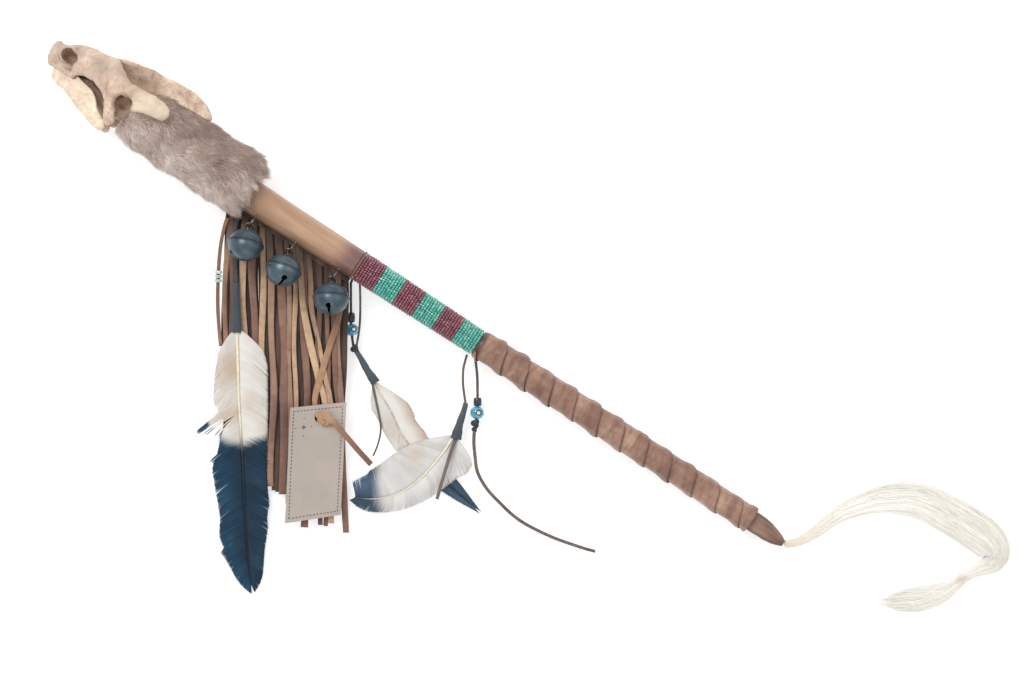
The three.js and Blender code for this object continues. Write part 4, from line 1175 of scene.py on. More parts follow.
def surface(values, origin):
    """Naive surface nets: one point in each cell the surface crosses, joined round each crossed edge."""
    inside = values < 0
    total = np.zeros(tuple(n - 1 for n in values.shape) + (3,))
    crossings = np.zeros(total.shape[:3])
    nx, ny, nz = total.shape[:3]
    edge_faces = []
    for axis in range(3):
        low = [slice(None)] * 3
        high = [slice(None)] * 3
        low[axis], high[axis] = slice(0, -1), slice(1, None)
        v0, v1 = values[tuple(low)], values[tuple(high)]
        crossed = (v0 < 0) != (v1 < 0)
        t = np.where(crossed, v0 / np.where(crossed, v0 - v1, 1), 0)
        for da in (0, 1):
            for db in (0, 1):
                shift = [0, 0, 0]
                others = [k for k in range(3) if k != axis]
                shift[others[0]], shift[others[1]] = da, db
                window = tuple(slice(s, s + n) for s, n in zip(shift, (nx, ny, nz)))
                hit, at = crossed[window], t[window]
                crossings += hit
                for k in range(3):
                    total[..., k] += hit * (at if k == axis else shift[k])
        edge_faces.append((axis, crossed, inside[tuple(low)]))
    used = crossings > 0
    index = np.full(used.shape, -1)
    index[used] = np.arange(used.sum())
    cell = np.argwhere(used)
    points = (cell + total[used] / crossings[used][:, None]) * CELL + origin
    quads = []
    for axis, crossed, low_inside in edge_faces:
        u, v = [k for k in range(3) if k != axis]
        at = np.argwhere(crossed)
        at = at[(at[:, u] > 0) & (at[:, v] > 0) & (at[:, u] < used.shape[u]) & (at[:, v] < used.shape[v])]
        at = at[at[:, axis] < used.shape[axis]]
        corners = []
        for du, dv in ((-1, -1), (0, -1), (0, 0), (-1, 0)):
            c = at.copy()
            c[:, u] += du
            c[:, v] += dv
            corners.append(index[tuple(c.T)])
        quad = np.stack(corners, -1)
        flip = low_inside[tuple(at.T)]
        if axis == 1:
            flip = ~flip
        quads.append(np.where(flip[:, None], quad, quad[:, ::-1]))
    return points, np.concatenate(quads)


def biggest_part(points, quads):
    """Drops loose crumbs: keeps the largest connected part."""
    label = np.arange(len(points))
    while True:
        low = label[quads].min(1)
        new = label.copy()
        np.minimum.at(new, quads.ravel(), np.repeat(low, 4))
        new = new[new]
        if (new == label).all():
            break
        label = new
    main = np.bincount(label).argmax()
    keep = label == main
    renumber = np.cumsum(keep) - 1
    return points[keep], renumber[quads[keep[quads].all(1)]]


def sample(values, origin, points):
    """Trilinear reading of the field at any point."""
    at = (points - origin) / CELL
    at = np.clip(at, 0, np.array(values.shape) - 1.001)
    low = at.astype(int)
    f = at - low
    out = 0
    for i in (0, 1):
        for j in (0, 1):
            for k in (0, 1):
                weight = np.abs(1 - i - f[:, 0]) * np.abs(1 - j - f[:, 1]) * np.abs(1 - k - f[:, 2])
                out = out + weight * values[low[:, 0] + i, low[:, 1] + j, low[:, 2] + k]
    return out


def vertex_normals(points, quads):
    normal = np.cross(points[quads[:, 2]] - points[quads[:, 0]], points[quads[:, 3]] - points[quads[:, 1]])
    total = np.zeros_like(points)
    for k in range(4):
        np.add.at(total, quads[:, k], normal)
    return unit(total)


def bone(name, field, low, high, paint, node, pits):
    low, high = np.array(low, float), np.array(high, float)
    axes = [np.arange(l, h, CELL) for l, h in zip(low, high)]
    grid = np.meshgrid(*axes, indexing="ij")
    values = field(grid)
    points, quads = biggest_part(*surface(values, low))
    shape = Shape(points, [quads]).outward()
    normals = vertex_normals(points, shape.faces[0])
    # Painted shade: the field read 2 and 5 mm out along each normal says how closed in the surface is.
    near = sample(values, low, points + normals * 2.0) / 2.0
    far = sample(values, low, points + normals * 5.0) / 5.0
    hollow = np.clip(1.0 - 0.5 * near - 0.5 * far, 0, 1)
    rough = 0.42 * grain(points, 7, 3, 1) + pits * grain(points, 2.2, 4, 2)
    points = points + normals * rough[:, None]
    a, b, c = points[:, 0], points[:, 1], np.abs(points[:, 2])
    cranium = node == "cranium"
    patchy = np.clip(0.66 + grain(points, 9, 3, 5), 0, 1)
    warm = np.clip(1.35 - a / 52, 0, 1) * np.clip((b + 15) / 10, 0, 1) * patchy
    temporal = np.exp(-(((a - 61) / 15) ** 2 + ((b - 6.5 + (a - 61) * 0.12) / 5.5) ** 2))
    inner = np.clip((a - 19) / 4, 0, 1) * np.clip((52 - a) / 4, 0, 1) * np.clip((-6 - b) / 3, 0, 1) * (c < 19)
    ear = np.exp(-(((a - 57.5) / 9) ** 4 + ((b + 14) / 10.5) ** 4)) * (c < 21.5)
    # The inside of the cranium's mouth gets painted shade too.
    hollow = np.maximum(hollow, 0.55 * inner * cranium)
    cream = np.exp(-(((a - 75) / 14) ** 4 + ((b + 8) / 7.5) ** 4)) * (c > 17) * cranium
    # Painted shade for the temple, the inside of the mouth and the ear.
    recess = np.clip(np.maximum(temporal * 1.2, np.maximum(inner, ear) * cranium), 0, 1)
    marks = {"hollow": hollow, "stain": warm, "recess": recess, "cream": cream}
    moved = Shape(points, shape.faces, **marks).moved(SKULL_TURN, SKULL_AT)
    build(name, moved, paint, "stick", node)


def skull():
    bone("skull_cranium", cranium_field, (-3, -33, -35), (117, 18.5, 35.5),
         bone_paint("old bone", "#E9D8C0", "#D8C0A8", "#AD8A79"), "cranium", 0.3)
    bone("skull_jaw", jaw_field, (3, -38, -33), (56, -5, 33.5),
         bone_paint("jaw bone", "#F1E4CB", "#E6D3B8", "#CBAF98"), "lower_jaw", 0.1)


# ---------------------------------------------------------------- leather fringe
# The fringe's left end, from which its straps are measured.
FRINGE_END = (111, FOLD_Y)


# Front straps: bundle, width, tint (0 dark brown to 1 cream), then (aside, drop) down the strap.
STRAPS = [
    (1, 3.5, 0.62, [(1.6, 6), (-1.5, 30), (-3.3, 59), (-2.8, 92), (-2, 128), (-0.8, 174)]),
    (1, 3.0, 0.36, [(4.9, 8), (2.0, 30), (1.2, 59), (1.0, 92), (2.0, 128), (2.6, 177)]),
    (1, 4.4, 0.84, [(10.4, 8), (8.5, 30), (8.5, 62), (10.5, 92), (11.1, 128), (12.4, 178)]),
    (1, 4.9, 0.50, [(15.7, 11), (14.8, 36), (15.4, 62), (16.7, 95), (17.6, 128), (17.2, 181)]),
    (2, 4.0, 0.86, [(21.6, 15), (21.6, 38), (21.6, 62), (21.2, 95), (21.6, 128), (23.5, 184)]),
    (2, 4.2, 0.60, [(26.2, 18), (26.5, 38), (26.9, 62), (27.8, 95), (28.2, 128), (26.2, 185.5)]),
    (2, 5.3, 0.48, [(32.1, 22), (33.4, 43), (34.4, 62), (35.4, 95), (35.7, 128), (34.6, 191)]),
    (3, 3.2, 0.62, [(37.3, 26), (38.3, 46), (39.0, 62), (38.6, 95), (39.3, 128), (39.9, 193)]),
    (3, 3.4, 0.86, [(41.9, 28), (42.6, 46), (42.9, 62), (42.2, 95), (42.9, 128), (44.5, 200)]),
    (3, 4.9, 0.42, [(49.1, 34), (48.4, 56), (49.1, 89), (50.4, 128), (49.1, 161), (48.4, 212.5)]),
    (3, 4.3, 0.97, [(45.9, 31.5), (47.2, 53), (47.8, 66), (51.7, 89), (57.6, 112), (62.9, 131),
                    (65.5, 161), (66.1, 210)]),
    (4, 3.2, 0.72, [(52.0, 34), (53.2, 53), (53.9, 70), (58.3, 92), (62.2, 112), (66.2, 131),
                    (69.0, 170), (69.6, 200)]),
    (4, 3.4, 0.30, [(58.9, 40), (58.9, 62), (58.3, 82), (57.0, 108), (57.6, 141), (58.9, 211)]),
    (4, 3.2, 0.42, [(64.2, 43.5), (63.5, 62), (63.5, 82), (64.2, 115), (62.9, 161), (62.2, 211.5)]),
    (4, 4.3, 0.56, [(71.4, 47), (70.1, 76), (70.1, 102), (72.7, 131), (74.0, 167), (75.6, 216)]),
    (4, 3.4, 0.40, [(66.5, 45), (68.1, 82), (69.4, 115), (70.7, 131), (71.5, 150), (70.5, 190)]),
]


def strap(points, width, tint, height, seed, shadow=0.0):
    """One hanging strap of hide, gently waved and twisted, with painted shade where it leaves the header."""
    thickness, steps = 1.1, 90
    rng = np.random.default_rng(seed)
    flat = spline(pendant(FRINGE_END, points, 0.0), steps)
    share = np.linspace(0, 1, steps)
    free = np.clip(share * 5, 0, 1)

    def wave(slowest, fastest):
        return np.sin(share * rng.uniform(slowest, fastest) + rng.uniform(0, 6.28))

    level = np.array([fringe_z(y) for y in flat[:, 1]]) + height
    flat[:, 2] = level + rng.uniform(0.25, 0.7) * wave(9, 15) * free
    flat[:, 0] += rng.uniform(0.2, 0.65) * wave(10, 18) * free
    roll = 0.28 * wave(5, 10) + 0.16 * wave(14, 22)
    size = np.column_stack([1 + 0.09 * wave(8, 16), np.ones(steps)])
    # Painted shade where the strap comes out from under the header.
    under = 1 / (1 + np.exp((share - 0.12 - 0.02 * math.sin(seed * 2.4)) / 0.026))
    shade = np.maximum(under, shadow)[:, None]
    return sweep(flat, strap_section(width, thickness), size, roll, tint=tint, shadow=shade)


def fringe():
    leather = suede_paint("fringe hide", "#3B2C26", "#8B6859", "#D6B492")
    shapes = {1: [], 2: [], 3: [], 4: []}
    for i, (bundle, width, tint, points) in enumerate(STRAPS):
        start = points[0]
        lead = [(start[0] + 0.3, start[1] - 7.5)]
        height = {10: 2.5, 11: 1.9}.get(i, 0.9 + 0.45 * (i % 2))
        shapes[bundle].append(strap(lead + points, width, tint, height, 40 + i))
    rng = np.random.default_rng(8)
    for bundle in range(1, 5):
        count = 8
        for b in range(count):
            aside = (bundle - 1) * 19.3 + (b + 0.5) * 19.3 / count + rng.normal(0, 0.5)
            top = 0.65 * aside + 0.5
            bow = -3.4 * np.clip(1 - aside / 14, 0, 1)
            end_aside = aside * (0.9 if bundle > 1 else np.interp(aside, [8, 19], [0.85, 0.99]))
            points = [(aside, top), (aside + bow * 0.6, top + 25), (aside * 0.98 + bow, top + 60),
                      ((aside + end_aside) / 2 + bow, top + 110),
                      (end_aside + bow * 0.8, top + rng.uniform(160, 170) - 9 * (bundle == 4))]
            tint = float(np.clip(rng.normal(0.14, 0.09), 0, 0.34))
            width = rng.uniform(3.4, 4.6)
            behind = strap(points, width, tint, -1.0 - 0.5 * (b % 2), 100 + bundle * 10 + b, shadow=0.62)
            shapes[bundle].append(behind)
        shapes[bundle].append(apron(bundle))
        build(
            f"fringe_straps_{bundle}", join(shapes[bundle]), leather, f"fringe_{bundle}",
            f"fringe_bundle_{bundle}"
        )
    header(leather)


def apron(bundle):
    """The uncut hide the bundle's straps are slit from, with soft folds that deepen towards the slits."""
    rng = np.random.default_rng(70 + bundle)
    across, down = 40, 16
    low, high = (bundle - 1) * 23.0 + 111.3, bundle * 23.0 + 110.9
    x = np.linspace(low, high, across)
    share = np.linspace(0, 1, down)
    ragged = 19 + 2.6 * np.sin(x / 3.1 + bundle) + 1.6 * np.sin(x / 1.3) + rng.normal(0, 0.5, across)
    drop = share[:, None] * ragged[None]
    px = x[None] + drop * math.sin(HANG)
    py = FOLD_Y - 0.2 - drop * math.cos(HANG)
    fold = 0.75 * np.sin(x / 1.45 + 2 * np.sin(x / 9)) + 0.5 * np.sin(x / 3.4)
    z = FOLD_Z - (FOLD_Y - py) * FRINGE_SLOPE - 0.9 + 0.5 * fold[None] * np.clip(share[:, None] * 1.6, 0, 1)
    mid = np.stack([px, py, z], -1)
    offset = np.array([0, 0, 0.5])
    loop = np.concatenate([mid + offset, (mid - offset)[:, ::-1]], 1)
    # Painted shade over the whole apron, darkest by the staff.
    shadow = np.broadcast_to(np.interp(share, [0, 0.4, 1], [0.9, 0.8, 0.7])[:, None], (down, 2 * across))
    # The top face's tint follows the folds: painted light on the crests, painted shade in the troughs.
    tint = np.concatenate([0.3 + 0.18 * fold, (0.25 + 0 * fold)])[None]
    return rings(loop, tint=tint, shadow=shadow)


def header(leather):
    """The hide folded round the staff's near underside, above the straps."""
    across, steps = 110, 14
    x = np.linspace(112.6, 203.2, across)
    turn = np.radians(np.linspace(262, 200, steps))
    r = staff_radius(x)[:, None] + 0.85 + 0.25 * np.sin(x[:, None] / 2.2 + 3 * turn[None])
    wrap = np.stack([np.broadcast_to(x[:, None], r.shape), r * np.cos(turn), r * np.sin(turn)], -1)
    lip = wrap[:, -1]
    level = FOLD_Z + 0.7 + 0.5 * np.sin(x / 1.45 + 2 * np.sin(x / 9))
    end = np.stack([x + 0.6, 0 * x + FOLD_Y - 0.6, level], -1)
    lips = np.stack([lip * (1 - t) + end * t for t in np.linspace(0.25, 1, 4)], 1)
    sheet = np.concatenate([wrap, lips], 1)
    normal = unit(np.cross(np.gradient(sheet, axis=0), np.gradient(sheet, axis=1)))
    top, bottom = sheet + normal * 0.45, sheet - normal * 0.45
    loop = np.concatenate([top, bottom[:, ::-1]], 1)
    n = sheet.shape[1]
    tint = 0.25 + 0.14 * np.sin(x / 1.9 + np.sin(x / 7))
    fold = rings(loop, tint=np.repeat(tint[:, None], 2 * n, 1), shadow=0.5)
    build("fringe_fold", fold, leather, "stick", "fringe_header")


def thong():
    leather = suede_paint("thong hide", "#4E372B", "#8E6C56", "#C9A786")
    points = [(-1.4, 9), (-3.6, 16), (-6.0, 28), (-7.4, 45), (-7.9, 64), (-7.2, 80), (-6.0, 93)]
    flat = spline(pendant(FRINGE_END, points, 0), 80)
    flat[:, 2] = [fringe_z(y) + 2.4 for y in flat[:, 1]]
    shape = sweep(
        flat, strap_section(2.5, 1.0), roll=0.5 * np.sin(np.linspace(0, 9, 80)), tint=0.45, shadow=0.0
    )
    build("thong_strand", shape, leather, "beaded_thong", "beaded_thong")
    glass = clear_bead_paint()
    stack = []
    along = unit(np.gradient(flat, axis=0))
    for k in (33.6, 36.2, 38.8):
        at = read(flat, np.arange(80), k)
        lat = np.radians(np.linspace(-65, 65, 9))
        profile = [(1.25 * math.sin(a), 1.35 + 1.1 * math.cos(a)) for a in lat] + [(1.0, 1.3), (-1.0, 1.3)]
        stack.append(revolve(profile, 20).moved(bead_axes(along[int(k)]), at).outward())
    build("thong_glass_beads", join(stack), glass, "glass_bead", "glass_bead")


# ---------------------------------------------------------------- feathers
def ribbons(centre, wide, up, width, thick, **marks):
    """Many thin closed ribbons. centre, wide and up are (ribbons, steps, 3); width is (ribbons, steps)."""
    w, t = wide * (width / 2)[..., None], up * (thick / 2)
    return strands(np.stack([centre - w - t, centre + w - t, centre + w + t, centre - w + t], 2), **marks)


class Feather:
    """A vane of separate barbs along a curved shaft. Outlines are (share along, millimetres out) pairs."""

    def __init__(self, curve, seed):
        base = spline(curve, 160)
        tail = base[-1] + (base[-1] - base[-3]) * np.linspace(0.5, 8, 16)[:, None]
        self.rachis = np.concatenate([base, tail])
        self.t = np.concatenate([np.linspace(0, 1, 160), 1 + np.linspace(0.5, 8, 16) * 2 / 159])
        self.along, self.side, self.up = directions(self.rachis)
        self.length = np.linalg.norm(np.diff(base, axis=0), axis=1).sum()
        self.rng = np.random.default_rng(seed)

    def vane(self, sign, outline, count, shift, tan, splits=(), end=0.985, camber=1.0, droop=0.6, drop=0.2,
             pull=0.06, ragged=0.0012, loose=0.0, lift=0.0, early=None):
        """The barbs of one side. tan gives the warm tint; early brings the dark tip forward in places."""
        rng = self.rng
        s = np.linspace(0, end, count)
        t = s + shift * (1 - 0.55 * s) + ragged * rng.normal(size=count)
        shade = np.empty(count)
        i = 0
        group = np.zeros(count, int)
        while i < count:
            n = int(rng.integers(12, 30))
            near = [k for k, v in enumerate(s[i:i + n]) for c in splits if abs(v - c) < 0.5 / count]
            if near and near[0] > 0:
                n = near[0]
            block = slice(i, i + n)
            middle = t[block].mean()
            t[block] = middle + (t[block] - middle) * (1 - pull * rng.uniform(0.5, 1.4))
            shade[block] = rng.uniform(0.4, 0.66)
            group[block] = i
            i += n
        uneven = 1 + 0.012 * rng.normal(size=count) + loose * rng.uniform(-1, 0.6, count)
        reach = np.interp(t, *zip(*outline)) * uneven
        u = np.linspace(0, 1, 12)
        a = s[:, None] + (t - s)[:, None] * u ** 1.35
        out = reach[:, None] * (1.12 * u - 0.12 * u**2)
        ripple = 0.22 * np.sin(a * 46 + group[:, None] * 0.7) * u
        height = camber * 4 * u * (1 - u) * 0.5 - droop * u**2 - drop + ripple + lift * u
        up = read(self.up, self.t, a)
        middle = read(self.rachis, self.t, a) + sign * read(self.side, self.t, a) * out[..., None]
        middle = middle + up * height[..., None]
        direction = unit(np.gradient(middle, axis=1))
        wide = unit(np.cross(up, direction))
        tilt = 0.16
        cos, sin = math.cos(tilt), math.sin(tilt)
        wide, up = unit(wide * cos + up * sin), unit(up * cos - wide * sin)
        spacing = self.length * end / count
        taper = np.interp(u, [0, 0.1, 0.75, 0.93, 1], [0.8, 1, 0.98, 0.88, 0.5])
        width = spacing * 1.5 * taper[None] * rng.uniform(0.9, 1.1, (count, 1))
        tone = np.clip(shade + rng.normal(0, 0.08, count), 0, 1)[:, None]
        place = (np.arange(count)[:, None] + 0.5) / count * 0.5 + (0.5 if sign > 0 else 0)
        warm = tan(a, np.broadcast_to(u, a.shape))
        change = a if early is None else a + early(t[:, None], u[None])
        marks = {"along": change, "across": u, "tint": tone, "row": place, "step": u, "tan": warm}
        return ribbons(middle, wide, up, width, 0.16, **marks)

    def shaft(self, radius, lift):
        """The rachis: a horny shaft, squarish in section, that thins to a hair at the tip."""
        t = np.linspace(0, 0.97, 100)
        path = read(self.rachis, self.t, t) + read(self.up, self.t, t) * lift
        size = radius * np.interp(t, [0, 0.1, 0.5, 0.85, 1], [1, 0.92, 0.55, 0.25, 0.12])
        section = np.array(
            [
                (math.cos(a) * (1 - 0.12 * math.cos(4 * a)), math.sin(a) * 0.85)
                for a in np.arange(12) * math.pi / 6
            ]
        )
        return sweep(path, section, size, along=t[:, None])


def dress(name, feather, vanes, paint, quill, radius, lift):
    """Builds a feather's barbs and its shaft, which ride on the feather's own body."""
    build(f"{name}_barbs", join(vanes), paint, name, f"{name}_vane", uv=("step", "row"))
    build(f"{name}_shaft", feather.shaft(radius, lift), quill, name, f"{name}_quill")


def sleeve_shape(path, radii):
    """A wrapped hide sleeve with a lapped seam and a few wrinkles."""
    count, flatten = 40, 0.72
    line = spline(path, count)
    size = np.interp(np.linspace(0, 1, count), np.linspace(0, 1, len(radii)), radii)
    turn = turns(28)
    seam = 1 + 0.07 * np.exp(-((turn - 1.9) / 0.22) ** 2)
    section = np.stack([np.cos(turn) * seam, flatten * np.sin(turn) * seam], -1)
    wrinkle = 1 + 0.035 * np.sin(np.linspace(0, 17, count) + 0.6) + 0.02 * np.sin(np.linspace(0, 41, count))
    return sweep(line, section, size * wrinkle, tint=0.5, shadow=0.0)


def knot(centre, along, radius, wire):
    """A small overhand knot: a cord that loops round itself."""
    turn = np.linspace(0, FULL_TURN, 90)[:-1, None]
    side = unit(np.cross(UP, along))
    u = np.sin(turn) + 2 * np.sin(2 * turn)
    v = np.cos(turn) - 2 * np.cos(2 * turn)
    w = -np.sin(3 * turn)
    path = centre + radius * (0.36 * u * along + 0.33 * v * side + 0.42 * w * UP)
    tangent = unit(np.roll(path, -1, 0) - np.roll(path, 1, 0))
    a = unit(np.cross(tangent, UP + 0.13))
    b = np.cross(tangent, a)
    c = circle(10) * wire
    points = path[:, None] + c[None, :, :1] * a[:, None] + c[None, :, 1:] * b[:, None]
    return looped(points, tint=0.4, shadow=0.0)


SLEEVE = ("#22282F", "#3D4852", "#74818C")


def long_feather():
    anchor = (120.6, -11.9)

    dark_cord = cord_paint("dark cord", "#2A2C31", "#4A4E55")
    points = [(0, 1.5), (-3.9, 9.2), (-4.6, 29.5), (-3.9, 47.0)]
    path = over_fringe(anchor, points, 3.2)
    build(
        "long_feather_hanger", cord(path, np.linspace(1.0, 1.7, 50), 50), dark_cord, "stick",
        "long_feather_cord"
    )

    sleeve_hide = suede_paint("sleeve hide", *SLEEVE, rough=0.6)
    points = [(-3.9, 46.5), (-4.2, 58), (-4.0, 68), (-3.9, 79)]
    path = over_fringe(anchor, points, 4.6)
    build(
        "long_feather_wrap", sleeve_shape(path, [1.5, 2.3, 2.8, 3.3]), sleeve_hide, "long_feather",
        "long_feather_sleeve"
    )

    points = [
        (-3.8, 77), (-3.1, 100), (-2.6, 123), (-1.2, 146), (0, 169), (1.0, 192), (2.2, 214), (3.6, 233),
        (5.1, 245.5),
    ]
    feather = Feather(over_fringe(anchor, points, 4.6), 21)
    left = [
        (0, 1.6), (0.01, 5), (0.04, 9), (0.076, 12), (0.165, 14.9), (0.275, 16.7), (0.3, 15.5), (0.318, 13),
        (0.345, 17.5), (0.37, 24), (0.39, 29.5), (0.402, 27), (0.412, 14), (0.445, 14.6), (0.478, 16.2),
        (0.5, 18), (0.51, 22), (0.52, 19.2), (0.545, 20.2), (0.6, 19.4), (0.69, 17.2), (0.742, 16.8),
        (0.808, 18), (0.853, 15.6), (0.872, 18), (0.885, 15.8), (0.925, 12.6), (0.972, 9.4), (1.0, 6.8),
        (1.018, 4.4), (1.03, 2.4), (1.04, 0.5),
    ]
    right = [
        (0, 1.6), (0.01, 5), (0.045, 10.5), (0.096, 17.5), (0.15, 19.3), (0.29, 19), (0.4, 17.5),
        (0.445, 16.8), (0.6, 15.5), (0.69, 16.4), (0.737, 14.4), (0.785, 14.4), (0.879, 11), (0.93, 9.8),
        (0.972, 8.4), (1.0, 6.2), (1.018, 4.2), (1.03, 2.4), (1.04, 0.5),
    ]

    def tan_left(a, u):
        first = np.exp(-((a - 0.15) / 0.07) ** 2) * np.clip(1.3 - u, 0, 1)
        second = 0.9 * np.exp(-((a - 0.33) / 0.045) ** 2) * np.clip(1.1 - u, 0, 1)
        return np.clip(first + second, 0, 1)

    def tan_right(a, u):
        return 0.6 * np.exp(-((a - 0.29) / 0.035) ** 2) * np.exp(-((u - 0.3) / 0.25) ** 2)

    def dark_spike(t, u):
        return 0.13 * np.clip((u - 0.5) / 0.35, 0, 1) * np.exp(-((t - 0.388) / 0.022) ** 2)

    count = 380
    spread = dict(camber=1.3, droop=1.3, drop=0.3, end=0.996)
    shapes = [
        feather.vane(
            1, right, count, 0.085, splits=(0.42,), tan=tan_right, pull=0.026, ragged=0.0008, **spread
        ),
        feather.vane(
            -1, left, count, 0.095, splits=(0.33,), tan=tan_left, early=dark_spike, pull=0.008,
            ragged=0.0004, **spread
        ),
    ]
    paint = feather_paint("long feather", "#D5CEC4", "#C9AE94", "#0D1A27", "#1B3F58", 0.448, 0.022)
    quill = quill_paint("long feather quill", "#DDD4BC", "#1B2A3A", 0.43)
    dress("long_feather", feather, shapes, paint, quill, 1.15, 0.15)


def bead_solid(path, share0, share1, radius, bore, flat=0.0):
    """A bead threaded on a path between two shares of its length: its shape, its middle and its axes."""
    start, end = read(path, np.linspace(0, 1, len(path)), np.array([share0, share1]))
    half = np.linalg.norm(end - start) / 2
    profile = []
    for a in np.radians(np.linspace(-78, 78, 25)):
        bulge = flat + (1 - flat) * math.cos(a) if flat else math.cos(a) ** 0.95
        profile.append((half * math.sin(a) / math.sin(math.radians(78)), max(radius * bulge, bore + 0.2)))
    profile += [(profile[-1][0] - 0.1, bore), (profile[0][0] + 0.1, bore)]
    return revolve(profile, 28), (start + end) / 2, bead_axes(unit(end - start))


def eye_marks(shape, first):
    """Marks how far each point is from the nearest of four painted eyes, 0 at its middle and 1 at its rim."""
    p = unit(shape.points)
    nearest = np.full(len(p), 9.0)
    for turn in np.radians(first + np.arange(4) * 90):
        nearest = np.minimum(nearest, np.arccos(np.clip(p @ [0, math.cos(turn), math.sin(turn)], -1, 1)))
    shape.marks = {"eye": np.clip(nearest / math.radians(27), 0, 1)}


def left_pendant():
    anchor = (205.5, -12.4)
    black_cord = cord_paint("black cord", "#23262B", "#454A52")
    brown_cord = cord_paint("brown cord", "#4A3F3C", "#7C6E66")

    def fall(points):
        return draped(anchor, points, 4.6, leaves=-6.5, settles=24)

    points = [(0, 0), (0, 12), (0.1, 24), (0.3, 30.8), (1.4, 40.4), (2.2, 43.2)]
    beaded = spline(fall(points), 80)
    lead = np.concatenate([beaded[:1] + [[-0.4, 2.6, 1.2]], beaded])
    build(
        "left_beaded_cord", sweep(resample(lead, 90), circle(10), 0.85), black_cord, "left_pendant",
        "left_pendant_beaded_cord"
    )
    points = [(5.9, -1), (6.2, 14), (5.8, 27.5), (4.1, 39.6), (3.0, 43.2)]
    plain = fall(points)
    build("left_plain_cord", cord(plain, 0.75, 60), brown_cord, "left_pendant", "left_pendant_plain_cord")
    along = unit(beaded[-1] - beaded[-12])
    centre = fall([(2.6, 43.6)])[0]
    knots = join([knot(centre, along, 2.1, 1.0), ball(centre, (1.6, 1.6, 1.5), tint=0.3, shadow=0.0)])
    build("left_cord_knot", knots, black_cord, "left_pendant", "left_pendant_knot")

    black_paint = black_bead_paint()
    shape, at, basis = bead_solid(beaded, 0.49, 0.615, 2.7, flat=0.8, bore=0.95)
    build(
        "left_black_bead_glass", shape.moved(basis, at).outward(), black_paint, "left_black_bead",
        "left_pendant_black_bead"
    )
    shape, at, basis = bead_solid(beaded, 0.645, 0.82, 4.7, bore=0.95)
    eye_marks(shape, 70)
    glass = eye_bead_paint()
    build(
        "left_eye_bead_glass", shape.moved(basis, at).outward(), glass, "left_eye_bead",
        "left_pendant_eye_bead"
    )

    hide = suede_paint("pendant sleeve hide", *SLEEVE, rough=0.6)
    points = [(3.4, 44.8), (6.6, 50), (11.0, 58), (16.4, 66)]
    path = fall(points)
    build(
        "left_feather_wrap", sleeve_shape(path, [1.5, 2.1, 2.5, 3.3]), hide, "left_feather",
        "left_feather_sleeve"
    )
    points = [
        (15.8, 66), (20.5, 75), (26.2, 84.5), (35.4, 102.5), (51.7, 122.5), (68.1, 136.9), (82, 148.6),
    ]
    feather = Feather(over_table(anchor, points, (4.6, 4.2, 3.4, 2.8, 2.3, 2.2, 2.6)), 33)
    left = [
        (0, 1), (0.02, 5), (0.07, 9.0), (0.13, 10.4), (0.26, 10.2), (0.4, 9.6), (0.5, 8.6), (0.62, 7.5),
        (0.75, 6.2), (0.88, 4.2), (1.03, 1),
    ]
    right = [
        (0, 1), (0.04, 3.6), (0.12, 8.2), (0.21, 12.6), (0.27, 13.2), (0.31, 12.0), (0.42, 13.4),
        (0.52, 12.4), (0.62, 9.6), (0.75, 7.6), (0.87, 5.0), (1.03, 0.8),
    ]

    def tan_edge(a, u):
        return np.clip(u * 1.5 - 0.55, 0, 1) * np.clip((a - 0.06) / 0.1, 0, 1)

    def tan_soft(a, u):
        return 0.35 * np.exp(-((a - 0.3) / 0.08) ** 2)

    count = 280
    shapes = [
        feather.vane(
            1, right, count, 0.12, splits=(0.28,), tan=tan_edge, camber=1.2, droop=0.6, drop=0.2, lift=0.6
        ),
        feather.vane(-1, left, count, 0.12, tan=tan_soft, camber=1.0, droop=0.5, drop=0.2, lift=0.4),
    ]
    paint = feather_paint("left feather", "#DED8CF", "#B6957C", "#2A3846", "#4A5F70", 0.60, 0.05)
    quill = quill_paint("left feather quill", "#A0958A", "#2A3540", 0.66)
    dress("left_feather", feather, shapes, paint, quill, 0.5, 0.15)
    points = [(14.2, 66.8), (17.6, 83), (19.6, 96), (17.8, 106), (14.6, 114)]
    path = over_table(anchor, points, 5.4)
    tail_hide = suede_paint("cord hide", "#3B3431", "#6E625B", "#93867D", rough=0.7)
    shape = sweep(
        spline(path, 60), strap_section(1.5, 1.1), np.linspace(1.05, 0.75, 60), tint=0.4, shadow=0.0
    )
    build("left_feather_end", shape, tail_hide, "left_feather", "left_feather_tail")
    return black_cord, brown_cord, black_paint, glass, hide, tail_hide


